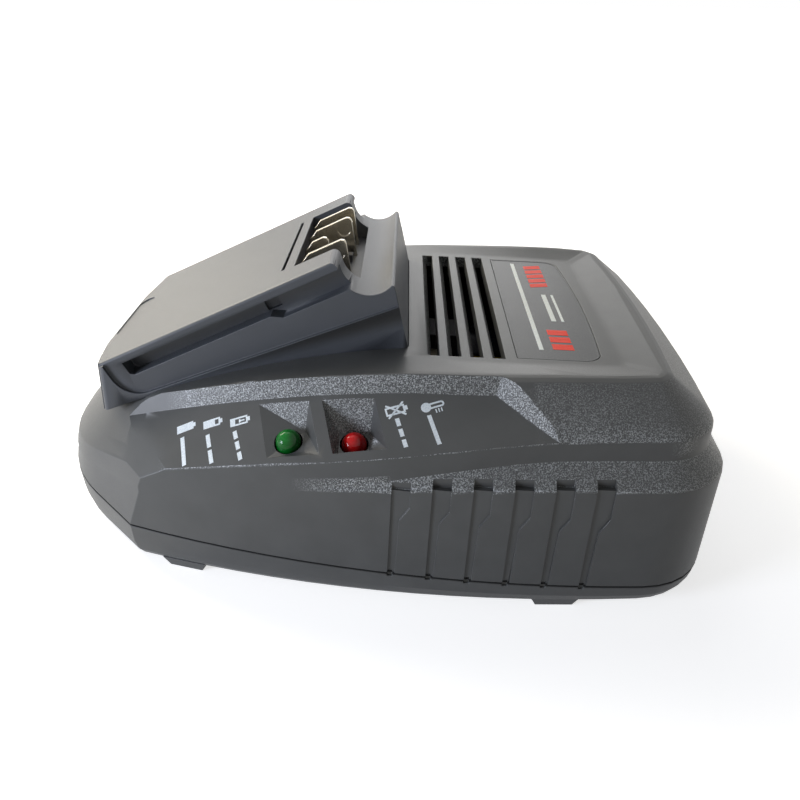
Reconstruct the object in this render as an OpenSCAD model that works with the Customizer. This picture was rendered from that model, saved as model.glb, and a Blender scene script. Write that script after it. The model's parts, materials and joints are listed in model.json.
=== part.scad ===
// Mains charger for slide-on power tool battery packs.
// X runs from the nose to the rear, Y across, Z up. The origin is under the middle of the
// housing, on the surface that the feet stand on. The bottom shell is a wedge: the joint of the
// two shells leans to the rear by base_tilt. All sub-parts are drawn with that joint level and
// then tilted together by stand().

/* [Housing] */
// Length of the housing along its middle
body_l = 173; // [160:1:190]
// Greatest width of the housing
body_w = 126.4; // [116:0.2:140]
// Distance of the greatest width behind the middle
widest_x = 40; // [30:1:50]
// Radius of the long side curve in plan
side_r = 325; // [280:5:400]
// Radius of the nose in plan
nose_r = 49; // [44:1:54]
// Lean of the nose's upright faces
nose_lean = 9; // [4:0.5:11]
// Radius of the rear corners in plan
corner_r = 20; // [18:1:24]
// Radius of the bowed rear face in plan
rear_r = 500; // [350:10:800]
// Wall thickness of the shells
wall = 2.5; // [2:0.1:3]
// Height of the feet
foot_h = 2; // [1.5:0.1:4]
// Height of the bottom shell's side above the rear feet
base_h = 7; // [6:0.5:9]
// Angle between the joint of the shells and the surface the charger stands on
base_tilt = 2.1; // [0:0.1:2.5]
// How far the bottom shell's underside is set in from its side
base_tuck = 3.2; // [2:0.1:4]

/* [Side levels] */
// Height of the lower side wall at the rear
shoulder_z = 36.4; // [34:0.1:38]
// Height of the lower side wall at the nose
shoulder_nose_z = 12; // [11:0.1:14]
// Height of the upright band above the shoulder, at the rear
belt_z = 46.8; // [45:0.1:48]
// Height of the same line at the nose
belt_nose_z = 16; // [15:0.1:18]
// How far the upper housing is set in above the shoulder
step_in = 4.5; // [3:0.1:5]
// Height of the deck
deck_z = 55; // [54:0.1:58]
// Height of the deck's curve where it would meet the nose
deck_nose_z = 25.6; // [24:0.1:27]
// Rise of the rim round the deck
rim_rise = 1.6; // [0.8:0.1:2.2]
// Distance of the rim from the side at the front
rim_in = 13.5; // [12:0.1:15]
// Extra distance of the rim from the side further back
rim_in_more = 1.8; // [1:0.1:2.5]

/* [Indicator panel] */
// Rear end of the sunk panel's floor at its top edge
panel_x1 = 27.6; // [24:0.1:32]
// Depth of the panel's floor below the rim
panel_drop = 4.6; // [3.5:0.1:5]
// Distance of the LEDs from the side at the charger's greatest width
led_in = 10.8; // [10:0.1:11.5]
// Height of the LED domes' centres
led_z = 38.7; // [38.3:0.1:39.2]
// Position of the green LED
led_green_x = -18.3; // [-20:0.1:-17]
// Distance between the LEDs
led_pitch = 15; // [14:0.1:16]
// Diameter of an LED dome
led_d = 5.8; // [4.8:0.1:6]
// Outward lean of the LEDs
led_lean = 20; // [0:1:25]

/* [Vents] */
// Number of vent slots
vent_n = 4; // [2:1:4]
// Front edge of the first slot
vent_x = 12.4; // [11.5:0.1:13]
// Distance between slots
vent_pitch = 5.23; // [4.8:0.01:5.4]
// Width of a slot at the deck
vent_w = 3.1; // [2.6:0.1:3.2]
// Length of a slot
vent_l = 74; // [60:0.5:75]

/* [Label plate] */
// Front edge of the plate
label_x = 34.1; // [33.5:0.1:36]
// Length of the plate along the deck at its middle
label_l = 21.8; // [18:0.1:22]
// Width of the plate across the deck
label_w = 72.6; // [60:0.2:74]
// Thickness of the plate
label_t = 0.8; // [0.6:0.1:1]

/* [Side grooves] */
// Number of grooves on each flank
groove_n = 6; // [3:1:6]
// Front edge of the first groove
groove_x = 5.65; // [3:0.05:7]
// Distance between grooves
groove_pitch = 9.04; // [8:0.01:9.2]
// Depth of a groove
groove_t = 0.5; // [0.3:0.1:0.8]

/* [Battery dock] */
// Width of the dock's skirt
dock_w = 66.8; // [64:0.2:70]
// How far the rails are set in from the skirt
rail_step = 1; // [0.6:0.1:1.4]
// Slope of the dock
dock_slope = 27; // [26:0.5:28]
// Front edge of the dock's sloping top at its corners
dock_x0 = -66.5; // [-68:0.5:-65]
// Height of that edge
dock_z0 = 46.3; // [45:0.1:47]
// Rear edge of the sloping top
dock_x1 = -10.2; // [-11:0.1:-9]
// Radius of the dock's bowed front in plan
dock_bow_r = 135; // [110:5:200]
// Thickness of the rail flange
flange_t = 2.1; // [1.8:0.1:2.6]
// Height of the rail slot
slot_h = 3.9; // [3.2:0.1:4]
// Extra height of the slot's rear stretch
slot_more = 1.5; // [0.8:0.1:1.8]
// Depth of the rail slot
slot_depth = 4.5; // [3.5:0.1:5]
// Radius of the scoop behind the terminals
scoop_r = 7; // [6:0.1:7.5]
// Height of the end wall's tip
tip_z = 70.1; // [69:0.1:71]
// Wall thickness of the dock
dock_wall = 2.4; // [2:0.1:2.6]

/* [Terminals] */
// Distance between contact blades
blade_pitch = 10; // [9:0.1:10.5]
// Thickness of a blade
blade_t = 1.2; // [0.8:0.1:1.4]
// Front edge of the terminal bay
bay_x = -20.5; // [-21.5:0.1:-20.4]
// Width of the terminal bay
bay_w = 43; // [41:0.2:45]
// Depth of the bay's floor below the dock's top, measured at the bay's rear end
bay_floor_z = 64.6; // [63:0.1:66]

/* [Circuit board] */
// Distance of the board's front edge from the nose
board_front = 40.5; // [39:0.5:42]
// Distance of the board's rear edge from the rear face
board_rear = 26.5; // [25:0.5:28]
// Width of the board
board_w = 88; // [84:1:92]
// Thickness of the board
board_t = 1.6; // [1:0.1:2]
// Height of the posts under the board
post_h = 8; // [6:0.5:10]

/* [Cord entry] */
// Diameter of the cord that the gland takes
cord_d = 7.2; // [6:0.1:8]
// Height of the cord entry
cord_z = 20; // [18:0.5:24]

/* [Hidden] */
$fn = 48;

shell_grey = "#4b4c4b";
dock_grey = "#3c3f45";
metal = "#c8c2ae";

// ---- curves of the housing ----

nose_x = -body_l / 2;
rear_x = body_l / 2;
parting_z = foot_h + base_h;
crease_a = 45;              // turn of the nose arc, after which the plan runs straight
n_nose = 8;
n_straight = 2;
n_side = 14;
n_corner = 7;
n_rear = 3;
n_half = n_nose + n_straight + n_side + n_corner + n_rear;

nose_c = [nose_x + nose_r, 0];
side_c = [widest_x, body_w / 2 - side_r];
rear_c = [rear_x - rear_r, 0];

function ease(x, a, b) = let (t = min(1, max(0, (x - a) / (b - a)))) t * t * (3 - 2 * t);
function polar(c, r, a) = [c[0] + r * cos(a), c[1] + r * sin(a)];
function bearing(c, p) = atan2(p[1] - c[1], p[0] - c[0]);

// Upper meeting point of two circles
function meet(c1, r1, c2, r2) =
    let (
        v = c2 - c1,
        l = norm(v),
        a = (l * l + r1 * r1 - r2 * r2) / (2 * l),
        h = sqrt(r1 * r1 - a * a),
        u = v / l
    )
    c1 + a * u + h * [u[1], -u[0]];

// Where the straight stretch behind the nose, moved in by d + lean, meets the side curve, moved in by d
function crease(d, lean) =
    let (
        s = nose_c + nose_r * [-cos(crease_a), sin(crease_a)],
        c = s[1] - s[0] - (d + lean) * sqrt(2),
        p = -side_c[0],
        q = c - side_c[1],
        r = side_r - d,
        x = (-(p + q) + sqrt((p + q) * (p + q) - 2 * (p * p + q * q - r * r))) / 2
    )
    [x, x + c];

// Point j of half the plan outline, moved in by d; the nose leans back by a further distance
function plan_half(j, d, lean) =
    let (
        k1 = n_nose,
        k2 = k1 + n_straight,
        k3 = k2 + n_side,
        k4 = k3 + n_corner,
        r = max(corner_r - d, 2.5),
        k = meet(side_c, side_r - d - r, rear_c, rear_r - d - r),
        e = crease(d, lean),
        rn = nose_r - d - lean,
        a_e = bearing(side_c, e),
        a_s = bearing(side_c, k),
        a_r = bearing(rear_c, k)
    )
    j <= k1 ? polar(nose_c, rn, 180 - crease_a * j / n_nose)
    : j <= k2 ? let (s = polar(nose_c, rn, 180 - crease_a)) s + (e - s) * (j - k1) / n_straight
    : j <= k3 ? polar(side_c, side_r - d, a_e + (a_s - a_e) * (j - k2) / n_side)
    : j <= k4 ? polar(k, r, a_s + (a_r - a_s) * (j - k3) / n_corner)
    : polar(rear_c, rear_r - d, a_r * (1 - (j - k4) / n_rear));

// A height that falls from z1 at x1 to z0 at the nose
function falling(x, x1, z1, z0, power) = z1 - (z1 - z0) * pow(max(0, (x1 - x) / (x1 - nose_x)), power);
function shoulder(x) = falling(x, 66, shoulder_z, shoulder_nose_z, 2);
function belt(x) = falling(x, 64, belt_z, belt_nose_z, 1.8);
function deck(x) = falling(x, 12, deck_z, deck_nose_z, 1.6);
function rim(x) = deck(x) + rim_rise * ease(x, 0, 60);
function stepped(x) = step_in * ease(x, -21, 45);
function rim_inset(x) = rim_in + rim_in_more * ease(x, -10, 50) + 1.7 * ease(x, 55, 80);
function side_y(x, d = 0) = side_c[1] + sqrt(pow(side_r - d, 2) - pow(x - side_c[0], 2));

// A closed ring: inset is a function of x, so is the height, and so is the nose's lean
upright = function(x) 0;
function ring(inset, level, lean = upright) =
    let (half = [for (j = [0:n_half])
        let (x0 = plan_half(j, 0, 0)[0], p = plan_half(j, inset(x0), lean(x0)))
        [p[0], p[1], level(x0, p[0])]])
    concat(half, [for (j = [n_half - 1:-1:1]) [half[j][0], -half[j][1], half[j][2]]]);

// Closed solid through rings of equal count, capped by strips across it
module loft(rings) {
    n = len(rings[0]);
    h = n / 2;
    top = (len(rings) - 1) * n;
    points = [for (r = rings) each r];
    walls = [for (k = [0:len(rings) - 2], j = [0:n - 1])
        let (a = k * n + j, b = k * n + (j + 1) % n)
        each [[a, b, b + n], [a, b + n, a + n]]];
    caps = [for (j = [0:h - 1], o = [0, top])
        let (a = o + j, b = o + j + 1, c = o + n - j - 1, d = o + (n - j) % n)
        each concat(
            j < h - 1 ? [o == 0 ? [a, c, b] : [a, b, c]] : [],
            j > 0 ? [o == 0 ? [a, d, c] : [a, c, d]] : []
        )];
    polyhedron(points, concat(walls, caps), convexity = 6);
}

// ---- placing ----

// Height of the standing surface at x while the joint of the shells is level
ground_k = tan(base_tilt);
function ground(x) = ground_k * (x - foot_rear_x);
function under(x) = foot_h + ground(x);     // underside of the bottom shell
foot_rear_x = 46.5;

// Sets the charger down on its feet, with the middle of its length over the origin
module stand() {
    translate([-sin(base_tilt) * (parting_z - 0.5 + shoulder_z) / 2, 0, foot_rear_x * sin(base_tilt)])
        rotate([0, base_tilt, 0]) children();
}

// ---- housing ----

nose_draft = tan(nose_lean);
lean_at_belt = function(x) nose_draft * (belt(x) - parting_z);

lean_at_shoulder = function(x) nose_draft * (shoulder(x) - parting_z);
joint_edge = 0.3;           // small bevel along the joint of the shells
belt_edge = 0.8;            // how far the rounding of the belt's edge reaches
shoulder_edge = 0.8;        // the same for the shoulder's edge
step_rise = 0.9;            // slope of the shoulder
flank_bulge = 0.8;          // how far the sloping flank bulges
dish_w = 9.5;               // width of the border that falls from the rim to the deck

// A rounded edge between an upright wall and a slope of about 42 degrees: the wall's end, the
// middle of the arc and the slope's start, each as [inset, height] for a rounding that reaches 1
edge_points = [[0, -1], [0.194, -0.087], [0.743, 0.669]];

// Rounding of the shoulder's edge, which dies out where the step ends
function shoulder_round(x) = shoulder_edge * ease(x, -21, 0);

module housing_outer() {
    loft([
        ring(function(x) joint_edge, function(x, p) parting_z),
        ring(function(x) 0, function(x, p) parting_z + joint_edge),
        for (e = edge_points) ring(
            function(x) e[0] * shoulder_round(x),
            function(x, p) shoulder(p) + e[1] * shoulder_edge,
            lean_at_shoulder
        ),
        ring(
            function(x) stepped(x),
            function(x, p) shoulder(p) + step_rise * stepped(x) + 0.9,
            lean_at_shoulder
        ),
        for (e = edge_points) ring(
            function(x) stepped(x) + e[0] * belt_edge,
            function(x, p) belt(p) + e[1] * belt_edge,
            lean_at_belt
        ),
        ring(function(x) stepped(x) + 2.6, function(x, p) flank(p, 2.6) + flank_bulge, lean_at_belt),
        ring(function(x) rim_inset(x) - 2.8, function(x, p) rim(p) - 1.75),
        ring(function(x) rim_inset(x) - 1.4, function(x, p) rim(p) - 0.6),
        ring(function(x) rim_inset(x) - 0.1, function(x, p) rim(p) - 0.1),
        ring(function(x) rim_inset(x) + 1, function(x, p) rim(p)),
        ring(function(x) rim_inset(x) + 2.4, function(x, p) rim(p) - 0.15 * (rim(p) - deck(p))),
        ring(function(x) rim_inset(x) + dish_w - 2, function(x, p) deck(p) + 0.1 * (rim(p) - deck(p))),
        ring(function(x) rim_inset(x) + dish_w, function(x, p) deck(p))
    ]);
}

// Height of the sloping flank at a distance d inside the upright band
function flank(x, d) = belt(x) + (rim(x) - belt(x)) * d / (rim_inset(x) - stepped(x));

module housing_inner() {
    loft([
        ring(function(x) wall, function(x, p) parting_z - 1),
        ring(function(x) wall, function(x, p) shoulder(p) - wall / 2),
        ring(function(x) stepped(x) + wall, function(x, p) belt(p) - wall / 2, lean_at_belt),
        ring(function(x) rim_inset(x) + wall / 2, function(x, p) deck(p) - wall)
    ]);
}

// Volume taken out of the flank by the sunk panel. grow moves its faces into the housing,
// which leaves a wall of that thickness when it is kept out of the hollow.
panel_n = 24;
panel_x0 = -70;
panel_top = 1.2;            // how far the panel's bevel runs outwards on its way down
panel_deep = 30;
panel_step = (panel_x1 + 14 - panel_x0) / panel_n;
module panel_cut(grow = 0) {
    intersection() {
        difference() {
            tube_between([for (k = [0:panel_n]) panel_band(panel_x0 + k * panel_step, grow)]);
            intersection() {
                tube_between([for (k = [0:panel_n]) panel_floor(panel_x0 + k * panel_step, grow)]);
                half_space(facet_p + grow * facet_n, atan2(facet_n[1], facet_n[0]), acos(facet_n[2]));
            }
        }
        half_space(end_p + [grow, 0, 0], end_turn, end_tilt);
    }
}
// Cross-section at x of everything outside the bevel that falls from the rim
function panel_band(x, grow) =
    let (y = side_y(x, rim_inset(x)), out = -side_y(x, 0) - 8, z = rim(x), k = panel_top / panel_drop)
    [
        [x - 0.01, out, z - panel_deep],
        [x - 0.01, grow - y - panel_deep * k, z - panel_deep],
        [x, grow - y + 0.4, z + 0.1],
        [x, grow - y + 0.4, z + 14],
        [x, out, z + 14]
    ];
// Upper and lower edge of the panel's floor at x, each as [distance from the middle, height]
function floor_top(x) = [side_y(x, rim_inset(x)) + panel_top, rim(x) - panel_drop];
function floor_low(x) = [side_y(x, stepped(x)), belt(x) - 0.25];
// Height of the floor at x, at a distance y from the middle
function floor_z(x, y) =
    let (a = floor_low(x), b = floor_top(x)) a[1] + (b[1] - a[1]) * (y - a[0]) / (b[0] - a[0]);

// Cross-section at x of everything under the panel's floor
floor_steps = 4;
function panel_floor(x, grow) =
    let (
        low = floor_low(x),
        top = floor_top(x),
        u = (top - low) / norm(top - low),
        d = [-u[1], u[0]] * (u[0] > 0 ? -1 : 1) * grow,
        line = [
            low - 12 * u - d,
            for (i = [0:floor_steps]) low - d + (norm(top - low) + 3) * u * i / floor_steps
        ]
    )
    [
        [x, -line[0][0], low[1] - 70],
        [x, -line[floor_steps + 1][0], low[1] - 70],
        for (i = [floor_steps + 1:-1:0]) [x, -line[i][0], line[i][1]]
    ];
// Front facet of the panel: a point of it and its inward normal
facet_x = -46.6;
facet_p = [facet_x, -side_y(facet_x), belt(facet_x)];
facet_n = [0.537, 0.584, -0.609];
// Slanted rear end of the panel
end_p = [panel_x1 + 0.55, -side_y(panel_x1, rim_inset(panel_x1)) - panel_top, deck_z - panel_drop];
end_turn = -118.8;
end_tilt = 71.7;

// Half of space, on the side that the direction given by turn and tilt points to
module half_space(p, turn, tilt) {
    translate(p) rotate([0, tilt, turn]) translate([-200, -200, 0]) cube([400, 400, 200]);
}

// Closed solid through polygons with equal numbers of points, one per station along X
module tube_between(stations) {
    n = len(stations[0]);
    last = (len(stations) - 1) * n;
    points = [for (s = stations) each s];
    walls = [for (k = [0:len(stations) - 2], j = [0:n - 1])
        let (a = k * n + j, b = k * n + (j + 1) % n)
        each [[a, a + n, b + n], [a, b + n, b]]];
    caps = [[for (j = [0:n - 1]) j], [for (j = [n - 1:-1:0]) last + j]];
    polyhedron(points, concat(walls, caps), convexity = 6);
}

// Pyramid-shaped pocket round an LED: a wide mouth in the panel's floor, a narrow flat seat
pocket_mouth = 12;          // width of the mouth along the panel
pocket_seat = 7;            // width of the flat seat
back_shift = -1.9;          // how far the mouth's upper edge is shifted along the panel
front_shift = 1.5;          // the same for the lower edge
pocket_rim = 0.6;           // distance of the mouth's upper edge from the panel's upper edge
pocket_sill = 1.3;          // distance of the mouth's lower edge from the belt
seat_rise = 0.3;            // the seat lies this much above the dome's centre
module pocket_cut(x, grow = 0) {
    hull() for (s = [-1, 1]) {
        at_led(x) translate([s * (pocket_seat / 2 + grow), 0, seat_rise - grow])
            cube([0.02, pocket_seat - 1 + 2 * grow, 0.02], center = true);
        xb = x + back_shift + s * (pocket_mouth / 2 + grow);
        yb = floor_top(xb)[0] + pocket_rim;
        translate([xb, grow - yb, floor_z(xb, yb) + 4]) cube([0.02, 0.02, 8], center = true);
        xf = x + front_shift + s * (pocket_mouth / 2 + grow);
        yf = floor_low(xf)[0] - pocket_sill;
        translate([xf, -grow - yf, floor_z(xf, yf) + 4]) cube([0.02, 0.02, 8], center = true);
    }
}

// Frame of an LED: its dome's centre is the origin and Z runs out along its axis
led_y = body_w / 2 - led_in;
module at_led(x) { translate([x, -led_y, led_z]) rotate([led_lean, 0, 0]) children(); }

// Vent slots: the front wall of each slopes under the deck, the rear wall is upright
louvre_t = 3.4;             // depth of the louvres
module vent_slots() {
    lean = vent_w * 0.5;
    deep = louvre_t + 1;
    for (i = [0:vent_n - 1])
        translate([vent_x + i * vent_pitch, vent_l / 2, deck_z]) rotate([90, 0, 0]) linear_extrude(vent_l)
            polygon([[0, 1], [vent_w, 1], [vent_w, -deep], [lean * deep / louvre_t, -deep], [0, 0]]);
}

// Outline of the label plate, grown by g
label_r = 5;                // radius of the plate's rear corners
label_bow = 380;            // radius of the plate's bowed rear edge
module label_outline(g = 0) {
    far = label_x + label_l;
    intersection() {
        translate([label_x - g, -label_w / 2 - g]) square([label_l + 2 * g, label_w + 2 * g]);
        translate([far - label_bow, 0]) circle(label_bow + g, $fn = 360);
        union() {
            translate([label_x - g, -label_w / 2 - g]) square([label_l + g - label_r - 1.2, label_w + 2 * g]);
            translate([label_x, -label_w / 2 + label_r]) square([label_l + g, label_w - 2 * label_r]);
            for (s = [-1, 1]) translate([far - label_r - 1.2, s * (label_w / 2 - label_r)])
                circle(label_r + g);
        }
    }
}

// Shallow groove down the flank: wide at the shoulder, narrow below a slanted step
groove_wide = 4.2;
groove_narrow = 1.8;
groove_knee = 24.8;         // height at which a groove turns narrow
groove_rise = 3.5;          // height of the slanted step above the knee
head_t = 1.9;               // depth of the small recess in the shoulder at a groove's upper end
head_play = 0.03;           // the recess is this much wider than the groove on each side
module flank_grooves() {
    for (i = [0:groove_n - 1], s = [0, 1]) {
        x = groove_x + i * groove_pitch;
        top = shoulder(x) + 3;
        mirror([0, s, 0])
            translate([x, side_y(x), 0]) rotate([90, 0, -asin((x + groove_wide / 2 - side_c[0]) / side_r)]) {
                groove_part(groove_t) polygon([
                    [0, parting_z - 1], [groove_narrow - 0.1, parting_z - 1],
                    [groove_narrow + 0.3, groove_knee], [groove_wide, groove_knee + groove_rise],
                    [groove_wide, top], [0, top]
                ]);
                groove_part(min(head_t, 0.7 * stepped(x)))
                    translate([-head_play, shoulder(x) + 0.1]) square([groove_wide + 2 * head_play, 3]);
            }
    }
}
// An outline on the flank, cut to the given depth
module groove_part(deep) { translate([0, 0, -3]) linear_extrude(3 + deep) children(); }

// Small notch across the joint of the shells at the front corner of each groove
notch_w = 1.25;
notch_deep = 0.9;
module groove_notches() {
    for (i = [0:groove_n - 1], s = [0, 1]) {
        x = groove_x + i * groove_pitch;
        mirror([0, s, 0])
            translate([x, side_y(x) - notch_deep, parting_z - 0.9]) cube([notch_w, 4, 1.7]);
    }
}

// ---- screw positions ----
shell_screws = [for (x = [nose_x + 34.5, rear_x - 22.5], s = [-1, 1]) [x, s * (x < 0 ? 24 : 40)]];
board_x0 = nose_x + board_front;
board_x1 = rear_x - board_rear;
board_screw_at = [for (x = [board_x0 + 8, board_x1 - 4], s = [-1, 1]) [x, s * (x < 0 ? 34 : 14)]];
dock_screw_at = [[-48, 18], [-48, -18]];
screw_r = 1.5;              // shank radius of the housing screws
small_r = 1.25;             // shank radius of the board screws
small_deep = 7;             // depth of the bore in a post for a board screw
boss_r = 4;
head_r = 3.2;               // radius of a housing screw's head
shank_l = 12;               // length of thread in a boss

// Cord entry
gland_r = 6.5;              // radius of the gland's sleeve
gland_flange_r = 9;
gland_flange_t = 1.6;
gland_l = 12;

module along_x(x, y, z) { translate([x, y, z]) rotate([0, 90, 0]) children(); }

module top_shell() {
    color(shell_grey) stand()
    difference() {
        housing_outer();
        difference() {
            housing_inner();
            panel_cut(wall);
            for (x = [led_green_x, led_green_x + led_pitch]) pocket_cut(x, 1.6);
            // louvre block under the slots
            translate([vent_x - 3, -vent_l / 2 - 2, deck_z - louvre_t])
                cube([vent_pitch * vent_n + 4, vent_l + 4, louvre_t + 2]);
            // seat of the label plate
            translate([label_x - 2, -label_w / 2 - 2, deck_z - wall - label_t])
                cube([label_l + 4, label_w + 4, wall + 2]);
            // posts for the housing screws
            for (p = shell_screws) translate([p[0], p[1], parting_z + 2]) cylinder(r = boss_r, h = 60);
            // flat seats for the dock screws' heads
            for (p = dock_screw_at) translate([p[0], p[1], dock_boss_z(p[0])])
                cylinder(r = boss_r + 0.5, h = 20);
            // collar inside the cord entry
            along_x(rear_x - gland_l, 0, cord_z) cylinder(r = gland_r + 2.4, h = 20);
        }
        panel_cut();
        for (x = [led_green_x, led_green_x + led_pitch]) {
            pocket_cut(x);
            at_led(x) translate([0, 0, -14]) cylinder(d = led_d + led_gap, h = 16);
        }
        vent_slots();
        translate([0, 0, deck_z - label_t]) linear_extrude(5) label_outline(0.15);
        flank_grooves();
        groove_notches();
        dock_seat();
        dock_opening();
        for (p = shell_screws) translate([p[0], p[1], 0]) cylinder(r = screw_r, h = parting_z + 2 + shank_l);
        for (p = dock_screw_at) translate([p[0], p[1], 0]) cylinder(r = screw_r + 0.2, h = 60);
        along_x(rear_x - 20, 0, cord_z) cylinder(r = gland_r, h = 40);
        along_x(rear_x - gland_flange_t, 0, cord_z) cylinder(r = gland_flange_r + 0.1, h = 20);
    }
}

// ---- bottom shell ----
floor_t = 2.5;
tongue_h = 2;
tongue_t = 1.2;
tongue_gap = 0.15;
foot_l = 9;
foot_w = 16;
foot_front_x = -44;
foot_in = 2.4;              // distance of a foot's outer face inside the side
head_z = foot_h + 4.5;      // depth of the recess for a housing screw's head
board_z = foot_h + floor_t + post_h;
clamp_x = rear_x - 18;      // middle of the cord clamp
clamp_pitch = 20;
clamp_z = cord_z + 0.5;     // underside of the cord clamp
saddle_t = 4;               // thickness of the rib that the cord rests on

module tray_outer() {
    loft([
        ring(function(x) base_tuck, function(x, p) under(p)),
        ring(function(x) base_tuck * 0.5, function(x, p) under(p) + (parting_z - under(p)) * 0.2),
        ring(function(x) base_tuck * 0.18, function(x, p) under(p) + (parting_z - under(p)) * 0.5),
        ring(function(x) 0, function(x, p) parting_z - joint_edge - 0.1),
        ring(function(x) joint_edge, function(x, p) parting_z)
    ]);
}

module tray_inner() {
    loft([
        ring(function(x) base_tuck + wall, function(x, p) under(p) + floor_t),
        ring(function(x) wall + tongue_gap + tongue_t, function(x, p) parting_z - 1.5),
        ring(function(x) wall + tongue_gap + tongue_t, function(x, p) parting_z + tongue_h + 1)
    ]);
}

module tongue() {
    loft([
        ring(function(x) wall + tongue_gap, function(x, p) parting_z - 2),
        ring(function(x) wall + tongue_gap, function(x, p) parting_z + tongue_h)
    ]);
}

// Foot: a block in line with the side, whose ends and sides slope in towards the ground
module foot(x, s) {
    lean = 1.4;
    translate([x, s * (side_y(x, foot_in) - foot_w / 2), ground(x)])
        rotate([0, -base_tilt, 0]) rotate([0, 0, -s * asin((x - widest_x) / side_r)]) intersection() {
            across(foot_w) polygon([
                [-foot_l / 2, 0], [foot_l / 2, 0],
                [foot_l / 2 + lean, foot_h + 1], [-foot_l / 2 - lean, foot_h + 1]
            ]);
            rotate([90, 0, 90]) translate([0, 0, -foot_l]) linear_extrude(2 * foot_l) polygon([
                [-foot_w / 2 + 1, 0], [foot_w / 2 - 1, 0], [foot_w / 2, foot_h + 1], [-foot_w / 2, foot_h + 1]
            ]);
        }
}

// Post on the tray's floor, up to z
module post(p, r, z) {
    translate([p[0], p[1], under(p[0]) + 1]) cylinder(r = r, h = z - under(p[0]) - 1);
}

module bottom_shell() {
    color(shell_grey) stand()
    difference() {
        union() {
            difference() {
                union() {
                    tray_outer();
                    tongue();
                }
                tray_inner();
            }
            for (x = [foot_front_x, foot_rear_x], s = [-1, 1]) foot(x, s);
            for (p = board_screw_at) post(p, 3.2, board_z);
            for (p = shell_screws) post(p, boss_r + 1.6, parting_z + 2);
            for (s = [-1, 1]) post([clamp_x, s * clamp_pitch / 2], 3, clamp_z);
            translate([clamp_x - saddle_t / 2, -clamp_pitch / 2, under(clamp_x) + 1])
                cube([saddle_t, clamp_pitch, cord_z - 0.5 - under(clamp_x) - 1]);
        }
        along_x(clamp_x - 10, 0, cord_z) cylinder(d = cord_d - 0.6, h = 20);
        for (p = board_screw_at) translate([p[0], p[1], board_z - small_deep]) cylinder(r = small_r, h = 40);
        for (p = shell_screws) {
            translate([p[0], p[1], -10]) cylinder(r = screw_r + 0.2, h = 40);
            translate([p[0], p[1], -10]) cylinder(r = head_r + 0.4, h = head_z + 10);
        }
        for (s = [-1, 1])
            translate([clamp_x, s * clamp_pitch / 2, clamp_z - small_deep - 2]) cylinder(r = small_r, h = 40);
        groove_notches();
        // intake slots under the board
        for (i = [0:7]) translate([-24 + i * 6, -14, -10]) cube([2.4, 28, 22]);
    }
}

// ---- battery dock ----
slope_k = tan(dock_slope);
function top_at(x) = dock_z0 + (x - dock_x0) * slope_k;
dock_hi = top_at(dock_x1);
scoop_x = dock_x1 + scoop_r + 1.1;
scoop_z = dock_hi - 0.7;
tip_x = 3.2;                // inner edge of the end wall's tip
end_x = 8.3;                // rear foot of the end wall
seat_t = 1;                 // how deep the dock sits in the housing
rail_w = dock_w - 2 * rail_step;
ledge_k = 0.427;            // slope of the skirt's upper edge
ledge_x = -58.2;            // front end of that edge
ledge_z = 38.1;
ledge_r = 7;                // radius of the curve at that end
bow = dock_bow_r - sqrt(pow(dock_bow_r, 2) - pow(dock_w / 2, 2));
front_x = dock_x0 - 1;      // the front face leans forward by this much to its foot

// Underside of the flat seat for a dock screw's head
function dock_boss_z(x) = deck(x) - wall - 2.4;

// The dock's underside follows the deck
function seat(x) = deck(x) - seat_t;
seat_n = 8;
function seat_line(x0, x1) = [for (i = [0:seat_n]) let (x = x0 + (x1 - x0) * i / seat_n) [x, seat(x)]];

module across(w) { translate([0, w / 2, 0]) rotate([90, 0, 0]) linear_extrude(w) children(); }

// Frame along the dock's sloping top: X runs up the slope, Z stands on it
module on_slope() { translate([dock_x0, 0, dock_z0]) rotate([0, -dock_slope, 0]) children(); }

module dock_profile() {
    difference() {
        polygon(concat(
            seat_line(front_x - bow, end_x),
            [
                [tip_x + 1, tip_z - 0.3], [tip_x, tip_z], [tip_x, dock_hi],
                [dock_x1, dock_hi], [dock_x0 - bow, top_at(dock_x0 - bow)]
            ]
        ));
        translate([scoop_x, scoop_z]) circle(scoop_r, $fn = 96);
        translate([scoop_x - scoop_r, scoop_z]) square([2 * scoop_r, 20]);
        flange_nose();
    }
}

// What is cut off where the sloping top turns down into the scoop
nose_round = 1.6;
module flange_nose() {
    xv = scoop_x - scoop_r;
    c = [xv - nose_round, top_at(xv - nose_round) - nose_round / cos(dock_slope)];
    difference() {
        polygon([
            c, c + 4 * nose_round * [-sin(dock_slope), cos(dock_slope)],
            [xv + 1, dock_hi + 6], [xv + 1, c[1]]
        ]);
        translate(c) circle(nose_round);
    }
}

// Plan of the dock with its bowed front and small corner radii
dock_corner_r = 1.6;
module dock_plan() {
    r = dock_corner_r;
    intersection() {
        union() {
            translate([front_x - bow, -dock_w / 2 + r]) square([end_x - front_x + bow, dock_w - 2 * r]);
            translate([front_x + r, -dock_w / 2]) square([end_x - front_x - 2 * r, dock_w]);
            for (s = [-1, 1], x = [front_x + r, end_x - r]) translate([x, s * (dock_w / 2 - r)]) circle(r);
        }
        translate([front_x - bow + dock_bow_r, 0]) circle(dock_bow_r, $fn = 240);
    }
}

module dock_body() {
    intersection() {
        across(dock_w) dock_profile();
        linear_extrude(90) dock_plan();
    }
}

// Socket in the deck that the dock's foot sits in
module dock_seat() {
    intersection() {
        across(dock_w) polygon(concat(seat_line(front_x - bow, end_x), [[end_x, 70], [front_x - bow, 70]]));
        linear_extrude(90) dock_plan();
    }
}

// Hole in the deck under the dock, for the contacts and their leads
module dock_opening() {
    translate([-38, -24, 20]) cube([40, 48, 50]);
}

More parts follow.
